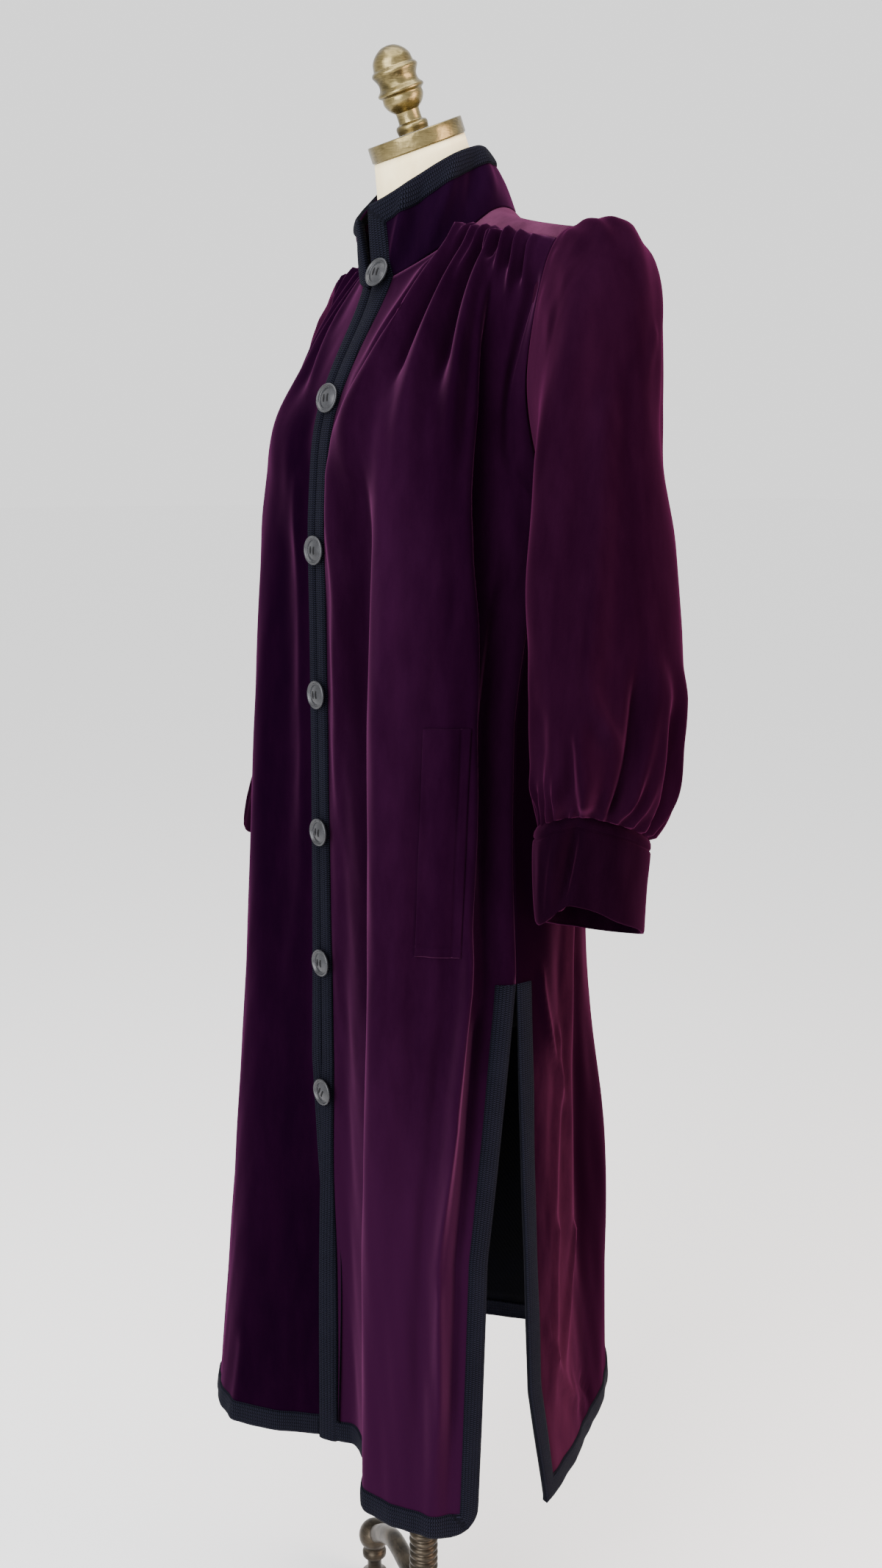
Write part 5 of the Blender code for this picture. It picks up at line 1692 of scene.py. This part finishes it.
def with_allowance(points, axis, way):
    """A tube's points with the seam allowance of its last ring, which runs along an axis inside the next
    piece."""
    end = points[-1]
    inward = end.mean(axis=0) - end
    inward[:, axis] = 0
    inward /= np.linalg.norm(inward, axis=-1, keepdims=True)
    along = way * np.eye(3)[axis]
    rings = [end + inward * inset + along * run for inset, run in SEAM_ALLOWANCE]
    return np.concatenate([points, rings])


def add_sleeve(side, name):
    """A sleeve, whose allowance runs into the armhole, and its cuff, whose allowance runs up the sleeve."""
    flip = side > 0
    turns = np.linspace(0, 1, SLEEVE_SIDES + 1)
    stations = steps(0, (1, 14), (7, 54), (SLEEVE_END, 44))
    points = with_allowance(sleeve_points(side, turns, stations), 0, -side)
    sleeve = add_velvet("velvet_sleeve_" + name, "sleeve_" + name, "sleeve", points, flip=flip)
    turns = np.linspace(0, 1, CUFF_SIDES + 1)
    shares = steps(0, (0.04, 3), (0.86, 16), (1, 9))
    points = with_allowance(cuff_points(side, turns, shares), 2, 1)
    cuff = add_velvet("velvet_cuff_" + name, "cuff_" + name, "cuff", points, DOUBLED_VELVET, flip=flip)
    return sleeve, cuff


def spun_mesh(profile, count):
    """A turned piece: its profile of radii and heights, from the top down, about Z."""
    mesh = bmesh.new()
    points = [mesh.verts.new((radius, 0, height)) for radius, height in profile]
    edges = [mesh.edges.new(pair) for pair in zip(points, points[1:])]
    bmesh.ops.spin(
        mesh,
        geom=points + edges,
        cent=(0, 0, 0),
        axis=(0, 0, 1),
        angle=2 * math.pi,
        steps=count,
        use_merge=True,
    )
    bmesh.ops.remove_doubles(mesh, verts=mesh.verts, dist=JOIN)
    bmesh.ops.recalc_face_normals(mesh, faces=mesh.faces)
    return mesh


def smooth_profile(profile, count):
    """More points on a profile, smooth between its rows and flat where it meets the axis."""
    rows = np.array(profile)
    last = len(rows) - 2
    inner = curve(np.arange(last + 1), rows[:-1], np.linspace(0, last, last * count + 1))
    inner[:, 0] = np.maximum(inner[:, 0], 0)
    return [*map(tuple, inner), tuple(rows[-1])]


def turned_by(degrees, axis):
    return Matrix.Rotation(math.radians(degrees), 4, axis)


def add_turned(name, node, profile, count, finish, pose=None):
    """A turned piece that stands for one solid, about Z or in a pose."""
    mesh = spun_mesh(profile, count)
    if pose is not None:
        bmesh.ops.transform(mesh, matrix=pose, verts=mesh.verts)
    add_piece(name, mesh, finish, [node])


def strip_face(x, height):
    """The foremost Y of the left front's edge strip, without its folds, about a height."""
    levels = np.linspace(HEM, YOKE_LEVEL, 240)
    column, level = np.meshgrid(np.array((0.0, 1.0)), levels)
    edge, inner = front_form(column, level, LEFT_HALF).swapaxes(0, 1)
    share = ((x - edge[:, 0]) / (inner[:, 0] - edge[:, 0]))[:, None]
    line = edge + (inner - edge) * share
    return np.interp(height, line[:, 2], line[:, 1])


def sewing_mesh():
    """A button's four holes and the two bars of thread between them."""
    mesh = bmesh.new()
    for side in (-1, 1):
        aside = side * BUTTON_HOLE_ASIDE
        for end in (-1, 1):
            hole = Matrix.Translation((aside, end * BUTTON_HOLE_UP, BUTTON_FACE - BUTTON_HOLE_SINK))
            bmesh.ops.create_cone(
                mesh,
                cap_ends=True,
                segments=BUTTON_HOLE_SIDES,
                radius1=BUTTON_HOLE,
                radius2=BUTTON_HOLE,
                depth=BUTTON_HOLE_DEPTH,
                matrix=hole,
            )
        bar = Matrix.Translation((aside, 0, BUTTON_FACE + THREAD_LIFT))
        shape = Matrix.Diagonal((THREAD, BUTTON_HOLE_UP * THREAD_REACH, THREAD, 1))
        bmesh.ops.create_uvsphere(mesh, u_segments=12, v_segments=8, radius=1, matrix=bar @ shape)
    return mesh


def add_buttons():
    """Horn buttons with a raised rim, sewn on with thread."""
    for number, (x, height, away, lean, turn, roll) in enumerate(BUTTONS, 1):
        place = Matrix.Translation((x, strip_face(x, height) - away, height))
        pose = place @ turned_by(turn, "Z") @ turned_by(90 - lean, "X") @ turned_by(roll, "Z")
        name = f"horn_button_{number}"
        add_turned(name, f"button_{number}", BUTTON_PROFILE, BUTTON_STEPS, HORN_FINISH, pose)
        sewing = sewing_mesh()
        bmesh.ops.transform(sewing, matrix=pose, verts=sewing.verts)
        add_piece(f"button_thread_{number}", sewing, THREAD_FINISH, [])


def loft_mesh(points):
    """A closed body on rings of points, with flat ends."""
    mesh = sheet_mesh(points)
    bmesh.ops.holes_fill(mesh, edges=[edge for edge in mesh.edges if edge.is_boundary], sides=0)
    bmesh.ops.recalc_face_normals(mesh, faces=mesh.faces)
    return mesh


def form_ring(row):
    turn = np.linspace(0, 2 * math.pi, FORM_SIDES + 1)
    ahead = np.cos(turn)
    height, front_drop, back_drop, half_width, front, back, middle = row
    depth = np.where(ahead > 0, front, back)
    drop = np.where(ahead > 0, front_drop, back_drop)
    return np.stack([half_width * np.sin(turn), middle - depth * ahead, height - drop * np.abs(ahead)], -1)


def add_form():
    """The form's body, its linen neck, and the brass cap and finial on top."""
    rings = np.stack([form_ring(row) for row in FORM_RINGS])
    body = curve(np.arange(len(rings)), rings, np.linspace(0, len(rings) - 1, FORM_ROWS))
    add_piece("jersey_torso", loft_mesh(body), JERSEY_FINISH, ["form_torso"])
    turn = np.linspace(0, 2 * math.pi, FORM_SIDES + 1)
    tilt = math.radians(NECK_TILT)
    ahead = np.stack([np.sin(turn), -np.cos(turn) * math.cos(tilt), -np.cos(turn) * math.sin(tilt)], -1)
    up = np.array((0.0, -math.sin(tilt), math.cos(tilt)))
    top = np.array(NECK_CAP_PLACE) + NECK_RADIUS * ahead - SEAM * up
    base = rings[-1] + np.array((0, 0, SEAM))
    waist = base + (top - base) * NECK_WAIST
    neck = curve(np.arange(3), np.stack([base, waist, top]), np.linspace(0, 2, NECK_ROWS))
    add_piece("linen_neck", loft_mesh(neck), LINEN_FINISH, ["form_neck"])
    lean = turned_by(NECK_TILT, "X")
    pose = Matrix.Translation(NECK_CAP_PLACE) @ lean
    add_turned("brass_cap", "neck_cap", CAP_PROFILE, TURNED_STEPS, BRASS_FINISH, pose)
    foot = Vector(NECK_CAP_PLACE) + Vector(up) * (CAP_PROFILE[0][1] + SEAM)
    pose = Matrix.Translation(foot) @ lean
    profile = smooth_profile(FINIAL_PROFILE, FINIAL_SMOOTHING)
    add_turned("brass_finial", "finial", profile, TURNED_STEPS, BRASS_FINISH, pose)


def add_leg(number, bearing):
    """A leg from the hub and the turned foot at its end."""
    rows = np.array(LEG_ROUTE)
    route = curve(np.arange(len(rows)), rows, np.linspace(0, len(rows) - 1, LEG_POINTS))
    along = np.gradient(route, axis=0)
    along /= np.linalg.norm(along, axis=-1, keepdims=True)
    turn = np.linspace(0, 2 * math.pi, LEG_SIDES + 1)
    sideways = LEG_RADIUS * np.cos(turn)
    raised = LEG_RADIUS * np.sin(turn)
    out = route[:, :1] - along[:, 1:] * raised
    height = route[:, 1:] + along[:, :1] * raised
    leg = loft_mesh(np.stack([out, 0 * out + sideways, height], -1))
    angle = turned_by(bearing, "Z")
    bmesh.ops.transform(leg, matrix=angle, verts=leg.verts)
    add_piece(f"bronze_leg_{number}", leg, BRONZE_FINISH, [f"leg_{number}"])
    far, middle = route[-1] + along[-1] * (FOOT_BALL + SEAM)
    slopes = np.radians(FOOT_BALL_RISES)
    ball = [(FOOT_BALL * math.cos(slope), middle + FOOT_BALL * math.sin(slope)) for slope in slopes]
    ball[0] = (0.0, ball[0][1])
    profile = [*ball, *FOOT_PROFILE]
    pose = angle @ Matrix.Translation((far, 0, 0))
    name = f"bronze_foot_{number}"
    add_turned(name, f"foot_{number}", profile, FOOT_STEPS, BRONZE_FINISH, pose)


def add_stand():
    """The ringed post, the hub under it and three legs."""
    top = FORM_RINGS[0][0] - SEAM
    ringed_top = HUB_TOP + POST_RINGS * POST_RING_PITCH + PLAIN_POST_GAP
    profile = [(0, top), (POST_RADIUS, top), (POST_RADIUS, ringed_top)]
    for ring in reversed(range(POST_RINGS)):
        base = HUB_TOP + SEAM + ring * POST_RING_PITCH
        for place, share in POST_RING_SHAPE:
            radius = POST_RADIUS + (POST_RING_RADIUS - POST_RADIUS) * share
            profile.append((radius, base + place * POST_RING_PITCH))
    profile += [(POST_RADIUS, HUB_TOP + SEAM), (0, HUB_TOP + SEAM)]
    add_turned("bronze_post", "post", profile, POST_STEPS, BRONZE_FINISH)
    add_turned("bronze_hub", "hub", HUB_PROFILE, POST_STEPS, BRONZE_FINISH)
    for number, bearing in enumerate(LEG_BEARINGS, 1):
        add_leg(number, bearing)


def add_floor():
    mesh = bmesh.new()
    bmesh.ops.create_grid(mesh, x_segments=1, y_segments=1, size=FLOOR_REACH)
    built = bpy.data.meshes.new("floor")
    mesh.to_mesh(built)
    mesh.free()
    finish = Finish("pale_floor", {
        "Roughness": 0.9,
        "Base Color": (0.97, 0.97, 0.97, 1),
        "Specular IOR Level": 0.1,
    })
    built.materials.append(finish.material)
    floor = bpy.data.objects.new("floor", built)
    bpy.context.scene.collection.objects.link(floor)


def add_light(name, bearing, distance, height, size, power, colour):
    """A soft panel of light turned to the coat's middle, at a bearing seen from above."""
    angle = math.radians(bearing)
    place = Vector((math.sin(angle) * distance, -math.cos(angle) * distance, height))
    lamp = bpy.data.lights.new(name, "AREA")
    lamp.shape = "RECTANGLE"
    lamp.size, lamp.size_y = size
    lamp.energy = power
    lamp.color = colour
    made = bpy.data.objects.new(name, lamp)
    made.location = place
    made.rotation_euler = (Vector(LIGHT_AIM) - place).to_track_quat("-Z", "Y").to_euler()
    bpy.context.scene.collection.objects.link(made)


def add_studio():
    world = bpy.data.worlds.new("studio")
    world.use_nodes = True
    sky = world.node_tree.nodes["Background"]
    sky.inputs["Color"].default_value = (1, 1, 1, 1)
    sky.inputs["Strength"].default_value = SKY_STRENGTH
    bpy.context.scene.world = world
    for light in LIGHTS:
        add_light(*light)


def add_camera():
    azimuth = math.radians(CAMERA_AZIMUTH)
    right = Vector((math.cos(azimuth), math.sin(azimuth), 0))
    away = Vector((math.sin(azimuth), -math.cos(azimuth), 0))
    lens = bpy.data.cameras.new("photo_camera")
    lens.sensor_fit = "HORIZONTAL"
    lens.sensor_width = SENSOR
    lens.lens = SENSOR * FOCAL_PIXELS / PICTURE_WIDTH
    camera = bpy.data.objects.new("photo_camera", lens)
    camera.location = POST + away * CAMERA_DISTANCE + right * CAMERA_ASIDE + Vector((0, 0, CAMERA_HEIGHT))
    camera.rotation_euler = (math.radians(90 - CAMERA_PITCH), 0, azimuth)
    bpy.context.scene.collection.objects.link(camera)
    bpy.context.scene.camera = camera


add_camera()
fronts = [add_front(1, "left"), add_front(-1, "right")]
back, back_trim = add_back()
yoke = add_velvet("velvet_yoke", "yoke", "yoke", yoke_points(), flip=True)
collar, collar_braid = add_collar()
sleeves = [add_sleeve(1, "left"), add_sleeve(-1, "right")]
add_buttons()
add_form()
add_stand()
add_floor()
add_studio()
